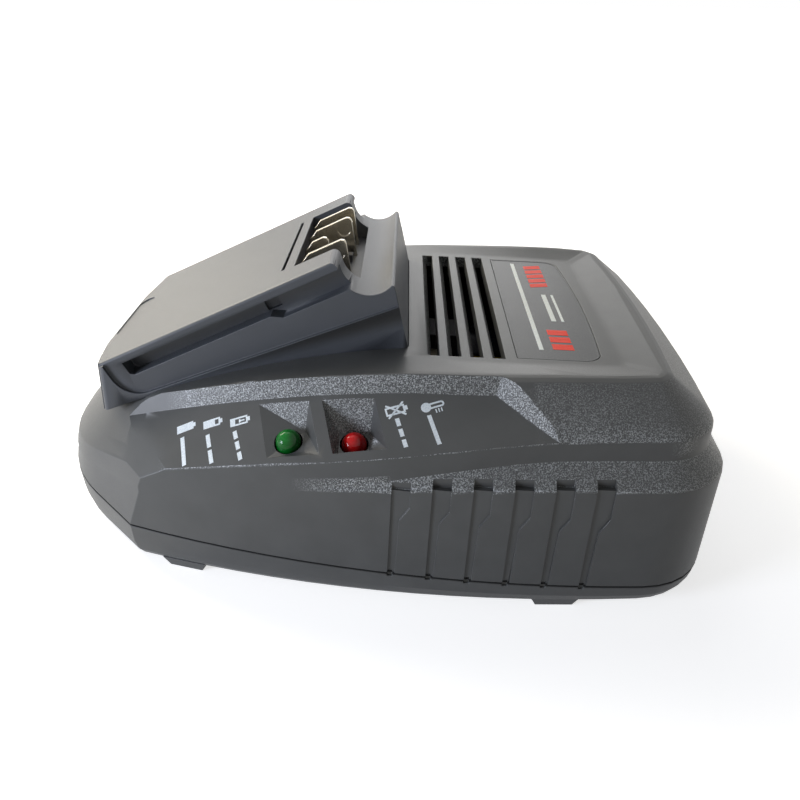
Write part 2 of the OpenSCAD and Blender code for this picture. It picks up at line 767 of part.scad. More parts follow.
// The rails are set in from the skirt above this line
front_a = -61;              // direction of the line's steep front stretch
ledge_a = atan(ledge_k);
module rail_zone() {
    // centre of the curve that leads from the steep stretch into the ledge
    k = tan(front_a);
    x0 = dock_x0 + 0.3;
    z0 = dock_z0 - 0.9;
    xm = (ledge_z - ledge_x * ledge_k - z0 + x0 * k) / (k - ledge_k);
    corner = [xm, z0 + (xm - x0) * k];
    mid_a = (ledge_a + front_a) / 2;
    c = corner + ledge_r / cos((ledge_a - front_a) / 2) * [-sin(mid_a), cos(mid_a)];
    polygon([
        [x0, 90], [x0, z0],
        for (i = [0:10]) polar(c, ledge_r, front_a - 90 + (ledge_a - front_a) * i / 10),
        [end_x + 1, ledge_z + (end_x + 1 - ledge_x) * ledge_k], [end_x + 1, 90]
    ]);
}

// Rail slot in the slope's own frame
slot_s0 = 4.2;              // front end of the slot, measured up the slope
notch_s = 43.6;             // where the slot widens
notch_l = 2.7;
slit_x = -23.8;             // front edge of the narrow slit before the terminal bay
slit_w = 0.7;
slit_deep = 3;
module rail_slot() {
    lip = -flange_t - slot_h;
    polygon([
        [slot_s0, -flange_t], [100, -flange_t], [100, lip - slot_more], [notch_s + notch_l, lip - slot_more],
        [notch_s, lip], [slot_s0 + 1.4, lip], [slot_s0 + 0.4, lip + 0.6]
    ]);
}

// Rounding of the flange's upper edge, in the slope's own frame
rail_r = 0.7;
module rail_edge() {
    translate([-12, rail_w / 2 - rail_r, -rail_r]) rotate([0, 90, 0]) difference() {
        translate([-rail_r - 1, 0, 0]) cube([rail_r + 1, rail_r + 3, 90]);
        translate([0, 0, -1]) cylinder(r = rail_r, h = 92);
    }
}

hollow_w = rail_w - 2 * (slot_depth + dock_wall);
roof_t = dock_wall / cos(dock_slope);
bay_end_x = -4.4;           // rear end of the terminal bay
bay_wall_z = bay_floor_z - 6;
carrier_gap = 0.1;

module dock_hollow() {
    difference() {
        across(hollow_w) polygon([
            [dock_x0 + 2, 20], [dock_x0 + 2, top_at(dock_x0 + 2) - roof_t], [-16, top_at(-16) - roof_t],
            [-11, scoop_z - scoop_r - dock_wall], [tip_x - dock_wall, scoop_z - scoop_r - dock_wall],
            [end_x - 5, 50], [end_x - 5, 20]
        ]);
        // walls of the terminal bay
        translate([bay_x - 5.5, -bay_w / 2 - 2, bay_wall_z]) cube([bay_end_x - bay_x + 7.5, bay_w + 4, 30]);
        // posts for the dock screws
        for (p = dock_screw_at) translate([p[0], p[1], 20]) cylinder(r = boss_r, h = 60);
    }
}

module battery_dock() {
    color(dock_grey) stand()
    difference() {
        dock_body();
        dock_hollow();
        for (s = [0, 1]) mirror([0, s, 0]) {
            translate([0, dock_w / 2 - rail_step + 10, 0]) across(20) rail_zone();
            on_slope() translate([0, rail_w / 2 - slot_depth + 10, 0]) across(20) rail_slot();
            on_slope() translate([notch_s - 1.1, rail_w / 2 - slot_depth - 1.2, -flange_t - slot_h + 0.1])
                cube([notch_l + 1, 3, slot_h - 0.2]);
            on_slope() rail_edge();
        }
        translate([bay_x, -bay_w / 2, 30]) cube([bay_end_x - bay_x, bay_w, 60]);
        translate([slit_x, -bay_w / 2 + 0.8, top_at(slit_x) - slit_deep]) cube([slit_w, bay_w - 1.6, 20]);
        // badge recess
        on_slope() translate([0, 0, -0.4]) linear_extrude(4) badge_outline();
        for (p = dock_screw_at) translate([p[0], p[1], 20]) cylinder(r = screw_r, h = seat(p[0]) + 10 - 20);
    }
}

badge_s = -1.8;             // middle of the badge, measured up the slope
badge_l = 25;
badge_w = 5;
module badge_outline() {
    translate([badge_s, 0]) square([badge_w, badge_l - badge_w], center = true);
    for (s = [-1, 1]) translate([badge_s, s * (badge_l - badge_w) / 2]) circle(d = badge_w);
}

// ---- terminals ----
blade_x0 = -19.8;           // front edge of a blade above the carrier
blade_x1 = -8.2;            // rear edge at the blade's top
blade_step = 1.2;           // length of the low step at a blade's front end
blade_foot_z = bay_floor_z - 10;
blade_sink = 0.2;           // how far the blades lie below the dock's top
short_x1 = -13.5;           // rear edge of the short blade
lead_x = -12;               // place of the leads under the long blades
short_lead_x = -16;         // place of the lead under the short blade
wire_r = 0.9;

module blade(y, x1) {
    xs = blade_x0 + blade_step;
    z0 = top_at(xs) - blade_sink;
    z1 = top_at(x1 - 1.6) - blade_sink;
    translate([0, y, 0]) across(blade_t) polygon([
        [blade_x0, blade_foot_z], [blade_x0, z0 - 2.2], [blade_x0 + 0.4, z0 - 1.7],
        [xs - 0.4, z0 - 1.4], [xs + 0.3, z0 - 0.2], [xs + 0.8, z0 + 0.4],
        [x1 - 1.6, z1], [x1 - 0.7, z1 - 0.1], [x1 - 0.15, z1 - 0.7], [x1, z1 - 1.5],
        [x1 + 1.6, bay_floor_z], [x1 + 1.6, blade_foot_z]
    ]);
}

module contact_positive() { color(metal) stand() blade(1.5 * blade_pitch, blade_x1); }
module contact_data() { color(metal) stand() blade(0.5 * blade_pitch, blade_x1); }
module contact_temperature() { color(metal) stand() blade(-0.5 * blade_pitch, short_x1); }
module contact_negative() { color(metal) stand() blade(-1.5 * blade_pitch, blade_x1); }

rib_w = 3;
rib_l = 8;
module contact_carrier() {
    g = carrier_gap;
    color("#1c1d1f") stand()
    difference() {
        union() {
            translate([bay_x + g, -bay_w / 2 + g, bay_wall_z - 1.5])
                cube([bay_end_x - bay_x - 2 * g, bay_w - 2 * g, bay_floor_z - bay_wall_z + 1.5]);
            // flange under the bay's walls
            translate([bay_x - 1.8, -bay_w / 2 - 1.8, bay_wall_z - 2])
                cube([bay_end_x - bay_x + 3.6, bay_w + 3.6, 2]);
            // ribs between the blades
            for (k = [-1:1]) translate([bay_x + 5, k * blade_pitch - rib_w / 2, bay_floor_z - 1])
                cube([rib_l, rib_w, 3]);
        }
        for (y = [-1.5, 0.5, 1.5] * blade_pitch) blade_slot(y, blade_x1);
        blade_slot(-0.5 * blade_pitch, short_x1);
    }
}

module blade_slot(y, x1) {
    translate([blade_x0, y - blade_t / 2, bay_wall_z - 10]) cube([x1 + 1.6 - blade_x0, blade_t, 40]);
}

// ---- label plate and indicators ----
module label_plate() {
    color("#343536") stand() translate([0, 0, deck_z - label_t]) linear_extrude(label_t) label_outline();
}

led_h = 7;                  // from an LED's base to its dome's centre
led_gap = 0.8;              // play between an LED and its hole
module led(x) {
    at_led(x) {
        sphere(d = led_d);
        translate([0, 0, -led_h]) cylinder(d = led_d, h = led_h);
    }
}
module led_green() { color("#0c8a2e") stand() led(led_green_x); }
module led_red() { color("#c2161b") stand() led(led_green_x + led_pitch); }

module rod(p, q, r) {
    v = q - p;
    translate(p) rotate([0, acos(v[2] / norm(v)), atan2(v[1], v[0])]) cylinder(r = r, h = norm(v), $fn = 24);
}

lead_r = 0.35;
lead_pitch = 2.54;
spacer_h = 3;
lead_bend = led_h + spacer_h + 1;   // distance of a lead's bend below the dome's centre
lead_foot_y = board_w / 2 - 3;
module led_leads() {
    color(metal) stand()
    for (x = [led_green_x, led_green_x + led_pitch], s = [-1, 1]) {
        px = x + s * lead_pitch / 2;
        top = [px, -led_y + led_h * sin(led_lean), led_z - led_h * cos(led_lean)];
        bend = [px, -led_y + lead_bend * sin(led_lean), led_z - lead_bend * cos(led_lean)];
        rod(top, bend, lead_r);
        translate(bend) sphere(lead_r * 1.25, $fn = 24);
        rod(bend, [px, -lead_foot_y, board_z + board_t], lead_r);
    }
}
module led_spacers() {
    color("#202122") stand()
    for (x = [led_green_x, led_green_x + led_pitch]) at_led(x)
        difference() {
            translate([0, 0, -led_h - spacer_h]) cylinder(d = led_d, h = spacer_h);
            for (s = [-1, 1]) translate([s * lead_pitch / 2, 0, -30]) cylinder(r = lead_r, h = 60, $fn = 24);
        }
}

// ---- circuit board and its components ----
comp_z = board_z + board_t;
module circuit_board() {
    color("#1f5d3a") stand()
    difference() {
        translate([board_x0, -board_w / 2, board_z]) cube([board_x1 - board_x0, board_w, board_t]);
        // room for the rear posts
        for (s = [0, 1]) mirror([0, s, 0]) translate([board_x1 - 6, 34, 0]) cube([40, 40, 40]);
        for (p = board_screw_at) translate([p[0], p[1], 0]) cylinder(r = small_r + 0.15, h = 40);
    }
}

board_mid = (board_x0 + board_x1) / 2;
trafo = [board_mid + 1, 8]; // middle of the transformer
core_w = 30;
core_d = 12;
core_h = 26;
leg_w = 9;
yoke_t = 4.5;
module transformer_core() {
    window_w = core_w / 2 - yoke_t - leg_w / 2;
    window_x = (core_w / 2 - yoke_t + leg_w / 2) / 2;
    color("#2b2a2b") stand() translate([trafo[0], trafo[1], comp_z + 3])
    difference() {
        translate([-core_w / 2, -core_d / 2, 0]) cube([core_w, core_d, core_h]);
        for (s = [-1, 1]) translate([s * window_x - window_w / 2, -core_d, yoke_t])
            cube([window_w, 2 * core_d, core_h - 2 * yoke_t]);
    }
}
module round_box(x, y, h, r) {
    linear_extrude(h) union() {
        square([x - 2 * r, y], center = true);
        square([x, y - 2 * r], center = true);
        for (a = [-1, 1], b = [-1, 1]) translate([a * (x / 2 - r), b * (y / 2 - r)]) circle(r);
    }
}
tube_t = 0.8;
module transformer_bobbin() {
    color("#d8d2c0") stand() translate([trafo[0], trafo[1], comp_z]) {
        difference() {
            union() {
                translate([0, 0, 3 + yoke_t])
                    round_box(leg_w + 2 * tube_t, core_d + 2 * tube_t, core_h - 2 * yoke_t, 1);
                for (z = [3 + yoke_t, core_h + 3 - yoke_t - 1.2])
                    translate([0, 0, z]) round_box(core_w - 2 * yoke_t - 0.4, core_d + 12, 1.2, 2);
            }
            translate([-leg_w / 2, -core_d / 2, 0]) cube([leg_w, core_d, 60]);
        }
        for (s = [-1, 1]) {
            translate([-9, s * (core_d / 2 + 3.4) - 2.4, 0]) cube([18, 4.8, 3 + yoke_t]);
        }
    }
}
module transformer_winding() {
    h = core_h - 2 * yoke_t - 2.4;
    color("#c9a227") stand() translate([trafo[0], trafo[1], comp_z + 3 + yoke_t + 1.2])
    difference() {
        round_box(core_w - 2 * yoke_t - 1.4, core_d + 10.4, h, 3.5);
        translate([0, 0, -1]) round_box(leg_w + 2 * tube_t, core_d + 2 * tube_t, h + 2, 1);
    }
}

// Capacitor can with a groove pressed in near its open end
module can(r, h) {
    difference() {
        cylinder(r = r, h = h);
        translate([0, 0, h * 0.1]) rotate_extrude() translate([r * 1.035, 0]) circle(r * 0.09);
    }
}
bulk_r = 9;
bulk_l = 30;
bulk_at = [board_x1 - 50, board_w / 2 - 10];
module bulk_capacitor() {
    color("#23262e") stand() along_x(bulk_at[0], bulk_at[1], comp_z + bulk_r) can(bulk_r, bulk_l);
}
out_r = 5;
out_l = 20;
out_gap = 2.1;              // distance between the output capacitors and the leads
out_at = [lead_x - wire_r - out_gap - out_r, board_w / 2 - 12];
out_pitch = 12;
module output_capacitors() {
    color("#23262e") stand()
    for (k = [0, 1]) translate([out_at[0], out_at[1] - k * out_pitch, comp_z]) can(out_r, out_l);
}
x_cap = [9, 18, 14];
x_cap_at = [board_x1 - 30, 3];
module x_capacitor() {
    color("#c7a83a") stand() translate([x_cap_at[0], x_cap_at[1], comp_z]) cube(x_cap);
}

choke = [board_x1 - 12, 17 - board_w / 2];
choke_r = 7;                // middle radius of the ring core
core_t = 4.4;               // radial thickness of the ring core
ring_h = 6;                 // height of the ring core
wire_d = 1;                 // thickness of a turn of wire
choke_reach = choke_r + core_t / 2 + wire_d;
module choke_core() {
    color("#3b4a2f") stand() translate([choke[0], choke[1], comp_z + ring_h / 2 + wire_d])
        rotate_extrude() translate([choke_r - core_t / 2, -ring_h / 2]) square([core_t, ring_h]);
}
module choke_winding() {
    color("#b5622a") stand() translate([choke[0], choke[1], comp_z + ring_h / 2 + wire_d])
    for (s = [0, 180], k = [-3:3]) rotate([0, 0, s + k * 20]) translate([choke_r, 0, 0]) difference() {
        cube([core_t + 2 * wire_d, 1.2, ring_h + 2 * wire_d], center = true);
        cube([core_t, 2, ring_h], center = true);
    }
}
bridge_size = [4, 18, 14];
bridge_at = [board_x1 - 34, -16.4];
module bridge_rectifier() {
    color("#1a1a1b") stand() translate([bridge_at[0], bridge_at[1], comp_z]) cube(bridge_size);
}

sink_l = 30;
sink_h = 24;
sink_t = 2.6;               // thickness of the sink's web
fin_t = 1.6;
fin_l = 13;
fin_n = 6;
sink_gap = 3.8;             // distance between the sink and the choke
sink_x = choke[0] - choke_reach - sink_gap - sink_l;
sink_y = -24;
device_x = [sink_x + 7, sink_x + 23];
device_hole_z = comp_z + 17;
module heat_sink() {
    fin_pitch = (sink_l - fin_t) / (fin_n - 1);
    color("#b9bcc0") stand() difference() {
        union() {
            translate([sink_x, sink_y, comp_z]) cube([sink_l, sink_t, sink_h]);
            for (i = [0:fin_n - 1]) translate([sink_x + i * fin_pitch, sink_y - fin_l, comp_z])
                cube([fin_t, fin_l + 0.1, sink_h]);
        }
        for (x = device_x) translate([x, sink_y - 6, device_hole_z]) rotate([-90, 0, 0])
            cylinder(r = 1.3, h = 20);
    }
}
tab_t = 1.3;                // thickness of a device's metal tab
module device(x) {
    translate([x, sink_y + sink_t, comp_z]) difference() {
        union() {
            translate([-5, 0, 4]) cube([10, tab_t, 16]);
            translate([-5, tab_t, 4]) cube([10, 3.2, 9.4]);
            for (k = [-1:1]) translate([k * 2.54 - 0.4, 1.8, 0]) cube([0.8, 0.6, 4.2]);
        }
        translate([0, -1, device_hole_z - comp_z]) rotate([-90, 0, 0]) cylinder(r = 1.6, h = 10);
    }
}
module power_transistor() { color("#1a1a1b") stand() device(device_x[0]); }
module output_diode() { color("#1a1a1b") stand() device(device_x[1]); }
module device_screws() {
    color(metal) stand()
    for (x = device_x) translate([x, sink_y + sink_t + tab_t, device_hole_z]) rotate([90, 0, 0]) {
        translate([0, 0, -1.6]) cylinder(r = 2.4, h = 1.6);
        cylinder(r = 1.3, h = 6);
    }
}

fuse_at = [board_x1 - 16, -8];
fuse_r = 2.6;
fuse_l = 20;
fuse_z = 5;                 // height of the fuse's axis above the board
clip_l = 3;
clip_w = 6.8;
clip_h = 6.4;
module fuse() {
    color("#dfe6e8") stand() along_x(fuse_at[0] - fuse_l / 2, fuse_at[1], comp_z + fuse_z)
        cylinder(r = fuse_r, h = fuse_l);
}
module fuse_clips() {
    color(metal) stand()
    for (x = [2 - fuse_l / 2, fuse_l / 2 - 2 - clip_l]) translate([fuse_at[0] + x, fuse_at[1], comp_z])
        difference() {
            translate([0, -clip_w / 2, 0]) cube([clip_l, clip_w, clip_h]);
            along_x(-1, 0, fuse_z) cylinder(r = fuse_r, h = 6);
        }
}
varistor_r = 5;
varistor_t = 4;
varistor_at = [board_x1 - 12, 6];
module varistor() {
    color("#2a5fa8") stand() translate([varistor_at[0], varistor_at[1], comp_z + varistor_r])
        rotate([90, 0, 0]) cylinder(r = varistor_r, h = varistor_t);
}
chip_size = [10, 10, 1.4];
chip_at = [board_x0 + 12, -15];
module controller_chip() {
    color("#1a1a1b") stand() translate([chip_at[0], chip_at[1], comp_z]) cube(chip_size);
}
coupler_size = [4.6, 6.5, 3.5];
coupler_gap = 5.4;          // distance between the optocoupler and the heat sink
coupler_at = [sink_x - coupler_gap - coupler_size[0], 8 - board_w / 2];
module optocoupler() {
    color("#e4e4df") stand() translate([coupler_at[0], coupler_at[1], comp_z]) cube(coupler_size);
}
module contact_leads() {
    color("#a32020") stand()
    for (k = [-1.5, -0.5, 0.5, 1.5]) translate([k == -0.5 ? short_lead_x : lead_x, k * blade_pitch, comp_z])
        cylinder(r = wire_r, h = blade_foot_z - comp_z);
}

// ---- cord entry ----
module cord_gland() {
    color("#1d1e20") stand() difference() {
        union() {
            along_x(rear_x - gland_l, 0, cord_z) cylinder(r = gland_r, h = gland_l - 0.1);
            along_x(rear_x - gland_flange_t, 0, cord_z)
                cylinder(r = gland_flange_r, h = gland_flange_t - 0.1);
        }
        along_x(rear_x - 20, 0, cord_z) cylinder(d = cord_d, h = 40);
    }
}
module cord_clamp() {
    color("#2b2c2e") stand() difference() {
        translate([clamp_x - 2.5, -clamp_pitch / 2 - 4, clamp_z]) cube([5, clamp_pitch + 8, 5]);
        along_x(clamp_x - 10, 0, cord_z) cylinder(d = cord_d - 0.6, h = 20);
        for (s = [-1, 1]) translate([clamp_x, s * clamp_pitch / 2, 0]) cylinder(r = small_r + 0.15, h = 40);
    }
}

// ---- screws ----
module screw(r, l, hr, hh) {
    translate([0, 0, -hh]) difference() {
        cylinder(r = hr, h = hh);
        translate([0, 0, -0.01]) cylinder(r = hr * 0.45, h = hh * 0.6, $fn = 6);
    }
    cylinder(r = r, h = l);
}
module housing_screws() {
    color(metal) stand() for (p = shell_screws)
        translate([p[0], p[1], head_z]) screw(screw_r, parting_z + 2 + shank_l - head_z - 1, head_r, 2);
}
module board_screws() {
    color(metal) stand() for (p = board_screw_at)
        translate([p[0], p[1], comp_z]) mirror([0, 0, 1]) screw(small_r, board_t + 6, 2.4, 1.6);
}
module clamp_screws() {
    color(metal) stand()
    for (s = [-1, 1]) translate([clamp_x, s * clamp_pitch / 2, clamp_z + 5]) mirror([0, 0, 1])
        screw(small_r, 5 + 8, 2.2, 1.6);
}
module dock_screws() {
    color(metal) stand() for (p = dock_screw_at)
        translate([p[0], p[1], dock_boss_z(p[0])]) screw(screw_r, 12, 2.8, 1.8);
}

// ---- assembly ----
top_shell();
bottom_shell();
battery_dock();
contact_carrier();
contact_positive();
contact_data();
contact_temperature();
contact_negative();
label_plate();
led_green();
led_red();
led_leads();
led_spacers();
circuit_board();
transformer_core();
transformer_bobbin();
transformer_winding();
bulk_capacitor();
output_capacitors();
x_capacitor();
choke_core();
choke_winding();
bridge_rectifier();
power_transistor();
output_diode();
heat_sink();
fuse();
fuse_clips();
varistor();
controller_chip();
optocoupler();
contact_leads();
cord_gland();
cord_clamp();
clamp_screws();
housing_screws();
board_screws();
dock_screws();
device_screws();
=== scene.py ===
import json
from math import radians

import bmesh
import bpy
from bpy.props import FloatProperty, FloatVectorProperty, IntProperty, PointerProperty
from mathutils import Matrix, Vector
from mathutils.bvhtree import BVHTree
from mathutils.kdtree import KDTree


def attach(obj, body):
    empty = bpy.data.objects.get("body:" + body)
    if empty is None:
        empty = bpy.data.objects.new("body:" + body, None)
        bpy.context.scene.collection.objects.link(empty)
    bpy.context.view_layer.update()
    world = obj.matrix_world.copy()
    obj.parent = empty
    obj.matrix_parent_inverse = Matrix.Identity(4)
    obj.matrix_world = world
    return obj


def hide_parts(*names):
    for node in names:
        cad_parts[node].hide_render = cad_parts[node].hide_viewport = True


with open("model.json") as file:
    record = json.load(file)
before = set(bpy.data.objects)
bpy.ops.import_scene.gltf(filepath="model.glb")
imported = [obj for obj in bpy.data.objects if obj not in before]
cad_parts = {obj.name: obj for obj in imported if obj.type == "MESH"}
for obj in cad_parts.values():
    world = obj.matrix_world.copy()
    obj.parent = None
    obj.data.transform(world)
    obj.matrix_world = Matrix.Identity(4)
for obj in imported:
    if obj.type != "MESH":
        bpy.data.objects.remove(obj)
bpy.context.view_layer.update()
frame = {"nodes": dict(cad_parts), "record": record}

bl_info = {
    "name": "Slide-on battery charger",
    "version": (1, 0, 0),
    "blender": (4, 5, 0),
    "location": "View3D > Sidebar > Charger",
    "description": "Dresses the charger's solids with moulded, printed and metal pieces",
    "category": "Object",
}

MM = 0.001
NODES = frame["nodes"]
SLOT_OF = {s["node"]: s["material_slot"] for s in frame["record"]["subparts"]}
COLOUR_OF = {m["slot"]: tuple(m["base_color"][:3]) for m in frame["record"]["materials"]}

# The nose points towards -X, so the left flank is the one towards -Y. The housing is drawn with the
# joint of its shells level, then tilted back onto its feet.
TILT = radians(2.1)
STAND = Matrix.Translation((-0.8226 * MM, 0, 1.704 * MM)) @ Matrix.Rotation(TILT, 4, "Y")

# Sizes of the solids that the pieces are fitted to, in mm with the joint level
REAR_X = 86.5
DECK_Z = 55.0
LED_X = {"led_green": -18.3, "led_red": -3.3}
LED_Y = -52.4
LED_Z = 38.7
LED_LEAN = radians(20)
CORD_Z = 20.0

# Rounding of edges: the angle in degrees over which a moulded edge is rounded, the length under which
# an edge stays sharp, and how much of its faces' depth and of its own length a rounding may take
SHELL_ANGLE = 14
SHORT_EDGE = 0.001 * MM
DEPTH_SHARE = 0.4
LENGTH_SHARE = 0.8
# Triangles that a rounding leaves astray: the area under which one isn't judged, how far off the old
# faces are looked for, and the cosine over which it faces as one of them does
SLIVER = 1e-5 * MM ** 2
GROUND_REACH = 0.25 * MM
SAME_WAY = 0.2
# The edges that then give way: how far from the fault they may be, in widths and at the least, how
# often their share is halved before they are left sharp, how many tries there are in all, and the
# share under which an edge is shaded as sharp
FAULT_WIDTHS = 2.2
FAULT_REACH = 0.3 * MM
HALVINGS = 3
TRIES = 8
CRISP_SHARE = 0.05

# A copied node: the gap that is closed, and the angle under which two faces are made one. A face of a
# piece points up or down where that part of its normal is over STRAIGHT.
HAIRLINE = 0.03 * MM
FLAT_ANGLE = radians(0.6)
STRAIGHT = 0.9

# The range in which a noise pattern mostly lies, and the length of a wave of the wave pattern at scale 1
NOISE = (0.3, 0.7)
WAVE = 0.314

# The joint of the two shells, with its painted shadow: the way up across it, its height, how far from
# there the painted shadow starts to fade and is gone, and how dark it is
JOINT_UP = STAND.to_3x3() @ Vector((0, 0, 1))
JOINT_AT = JOINT_UP.dot(STAND @ Vector((0, 0, 8.95 * MM)))
JOINT_EDGE = (0.2 * MM, 0.4 * MM)
PAINTED_JOINT_SHADOW = 0.1

# The housing's coarse grain, with painted glints: the noise at which a grain's painted highlight starts
# to show and is full, how much paler it is painted and how much glossier it then is, and how much of
# the fine grain's relief stays beside it
GLINTING_NOISE = (0.46, 0.68)
PAINTED_GLINT_SHADE = 9.5
GLINT_GLOSS = 0.3
FINE_RELIEF = 0.12

# Where the coarse grain and its painted glints lie, each pair being the ends of a soft change. By parts
# of the normal: up, where walls end and the deck starts, to the left, for the LED pockets and the
# flank, and to the rear, where the nose ends
WALL_NZ = (0.08, 0.22)
DECK_NZ = (0.58, 0.84)
POCKET_NY = (-0.95, -0.8)
FLANK_NY = (-0.95, -0.9)
NOSE_NX = (-0.62, -0.5)
# the nose's end, the skin of the left flank, the top of the belt, and the height of the LED pockets
NOSE_X = (-50 * MM, -40 * MM)
FLANK_Y = (-57.5 * MM, -56.5 * MM)
BELT_Z = (27 * MM, 30 * MM)
POCKET_Z = (41 * MM, 43 * MM)
# the fine floor of the sign panel: the way it faces, the cosine over which a face counts as part of
# it, and the panel's rear end
PANEL_NORMAL = (-0.19, -0.585, 0.788)
PANEL_LIKE = (0.955, 0.975)
PANEL_END = (37 * MM, 38 * MM)
# where the coarse face runs out along the flank, ahead of the belt: its rise towards the rear, its
# foot and head at x = 0, its start and its end
RUNOUT_RISE = 0.1
RUNOUT_FOOT = (32.9 * MM, 33.5 * MM)
RUNOUT_HEAD = (36.9 * MM, 36.1 * MM)
RUNOUT_START = (-17 * MM, -4 * MM)
RUNOUT_END = (6 * MM, 4.5 * MM)

# An LED's dome, with painted light and shade: the radii between which it is painted darker towards the
# rim, and the radius of the reflector cup's rim and half the width of the paler band painted there as
# its reflection
DOME_SHADING = (0.4 * MM, 2.9 * MM)
CUP_RADIUS = 1.55 * MM
CUP_HALF = 0.38 * MM


# ---- settings ----

class ChargerShape(bpy.types.PropertyGroup):
    shell_round: FloatProperty(
        name="Shell edges", description="Rounding of the shells' moulded edges",
        default=0.2 * MM, min=0.05 * MM, max=0.4 * MM, precision=5, unit="LENGTH")
    dock_round: FloatProperty(
        name="Dock edges", description="Rounding of the dock's moulded edges",
        default=0.22 * MM, min=0.05 * MM, max=0.4 * MM, precision=5, unit="LENGTH")
    blade_round: FloatProperty(
        name="Blade edges", description="Rounding of the stamped contact blades' edges",
        default=0.14 * MM, min=0.05 * MM, max=0.4 * MM, precision=5, unit="LENGTH")
    coin_radius: FloatProperty(
        name="Coined patch", description="Radius of the flattened patch at the end of a long blade",
        default=1.7 * MM, min=0.8 * MM, max=2.2 * MM, precision=5, unit="LENGTH")
    led_radius: FloatProperty(
        name="LED radius", description="Radius of an LED's dome",
        default=2.9 * MM, min=2.4 * MM, max=2.9 * MM, precision=5, unit="LENGTH")
    ink: FloatProperty(
        name="Ink", description="Thickness of the printed marks",
        default=0.05 * MM, min=0.02 * MM, max=0.1 * MM, precision=6, unit="LENGTH")
    gauge_bars: IntProperty(
        name="Gauge bars", description="Number of bars in the small gauge on the label plate",
        default=3, min=1, max=4)


class ChargerFinish(bpy.types.PropertyGroup):
    housing: FloatVectorProperty(
        name="Housing", description="Colour of the moulded shells", subtype="COLOR",
        size=3, min=0, max=1, default=(0.062, 0.064, 0.063))
    dock: FloatVectorProperty(
        name="Dock", description="Colour of the battery dock", subtype="COLOR",
        size=3, min=0, max=1, default=(0.05, 0.055, 0.064))
    plate: FloatVectorProperty(
        name="Label plate", description="Colour of the label plate", subtype="COLOR",
        size=3, min=0, max=1, default=(0.035, 0.037, 0.038))
    accent: FloatVectorProperty(
        name="Accent", description="Colour of the red marks on the label plate", subtype="COLOR",
        size=3, min=0, max=1, default=(0.9, 0.045, 0.015))
    ink: FloatVectorProperty(
        name="Ink", description="Colour of the pale printed marks", subtype="COLOR",
        size=3, min=0, max=1, default=(0.9, 0.97, 1.0))
    green: FloatVectorProperty(
        name="Green LED", description="Colour of the green LED", subtype="COLOR",
        size=3, min=0, max=1, default=(0.001, 0.22, 0.02))
    red: FloatVectorProperty(
        name="Red LED", description="Colour of the red LED", subtype="COLOR",
        size=3, min=0, max=1, default=(0.75, 0.004, 0.006))
    grain: FloatProperty(
        name="Grain", description="Size of the stipple on the shells",
        default=0.3 * MM, min=0.1 * MM, max=1 * MM, precision=5, unit="LENGTH")
    # strength of the painted glints: how far the grains on the housing's slopes are painted paler
    painted_glint: FloatProperty(
        name="Glint", description="How much the grains on the slopes stand out", default=0.8, min=0, max=1)
    grain_depth: FloatProperty(
        name="Grain depth", description="Depth of the stipple on the shells",
        default=0.11 * MM, min=0, max=0.2 * MM, precision=6, unit="LENGTH")


class ChargerStage(bpy.types.PropertyGroup):
    lens: FloatProperty(
        name="Lens", description="Focal length of the camera", unit="CAMERA",
        default=35.38, min=20, max=100)
    key: FloatProperty(
        name="Key lamp", description="Power of the warm lamp high beyond the nose", unit="POWER",
        default=7, min=0, max=100)
    side: FloatProperty(
        name="Side lamp", description="Power of the small cool lamp low beside the nose", unit="POWER",
        default=2.0, min=0, max=100)
    back: FloatProperty(
        name="Back lamp", description="Power of the low lamp beyond the right flank", unit="POWER",
        default=1.4, min=0, max=100)
    top: FloatProperty(
        name="Top lamp", description="Power of the lamp above", unit="POWER",
        default=0.8, min=0, max=100)
    fill: FloatProperty(
        name="Room light", description="Strength of the even light from all round",
        default=0.08, min=0, max=1)
    floor: FloatVectorProperty(
        name="Floor", description="Colour of the floor", subtype="COLOR",
        size=3, min=0, max=1, default=(0.86, 0.86, 0.86))


# ---- working by hand, in code ----

def deselect():
    if bpy.context.object and bpy.context.object.mode != "OBJECT":
        bpy.ops.object.mode_set(mode="OBJECT")
    bpy.ops.object.select_all(action="DESELECT")


def pick(piece):
    deselect()
    piece.select_set(True)
    bpy.context.view_layer.objects.active = piece


def added(name):
    piece = bpy.context.object
    piece.name = piece.data.name = name
    return piece


def edit(piece, mode="VERT"):
    pick(piece)
    bpy.ops.object.mode_set(mode="EDIT")
    bpy.ops.mesh.select_mode(type=mode)


def edit_all(piece):
    """Starts edit mode with all of the piece selected."""
    edit(piece)
    bpy.ops.mesh.select_all(action="SELECT")


def done():
    bpy.ops.object.mode_set(mode="OBJECT")


def extrude(*way):
    bpy.ops.mesh.extrude_region_move(TRANSFORM_OT_translate={"value": way})


def select_faces(piece, test):
    """In edit mode: leaves the faces selected whose normal passes the test."""
    mesh = bmesh.from_edit_mesh(piece.data)
    for face in mesh.faces:
        face.select_set(False)
    for face in mesh.faces:
        if test(face.normal):
            face.select_set(True)
    mesh.select_flush_mode()
    bmesh.update_edit_mesh(piece.data)


def apply_modifiers(piece):
    pick(piece)
    for name in [m.name for m in piece.modifiers]:
        bpy.ops.object.modifier_apply(modifier=name)


def place(piece, matrix):
    """Moves a piece by the matrix and puts the move into its mesh."""
    piece.matrix_world = matrix @ piece.matrix_world
    pick(piece)
    bpy.ops.object.transform_apply(location=True, rotation=True, scale=True)


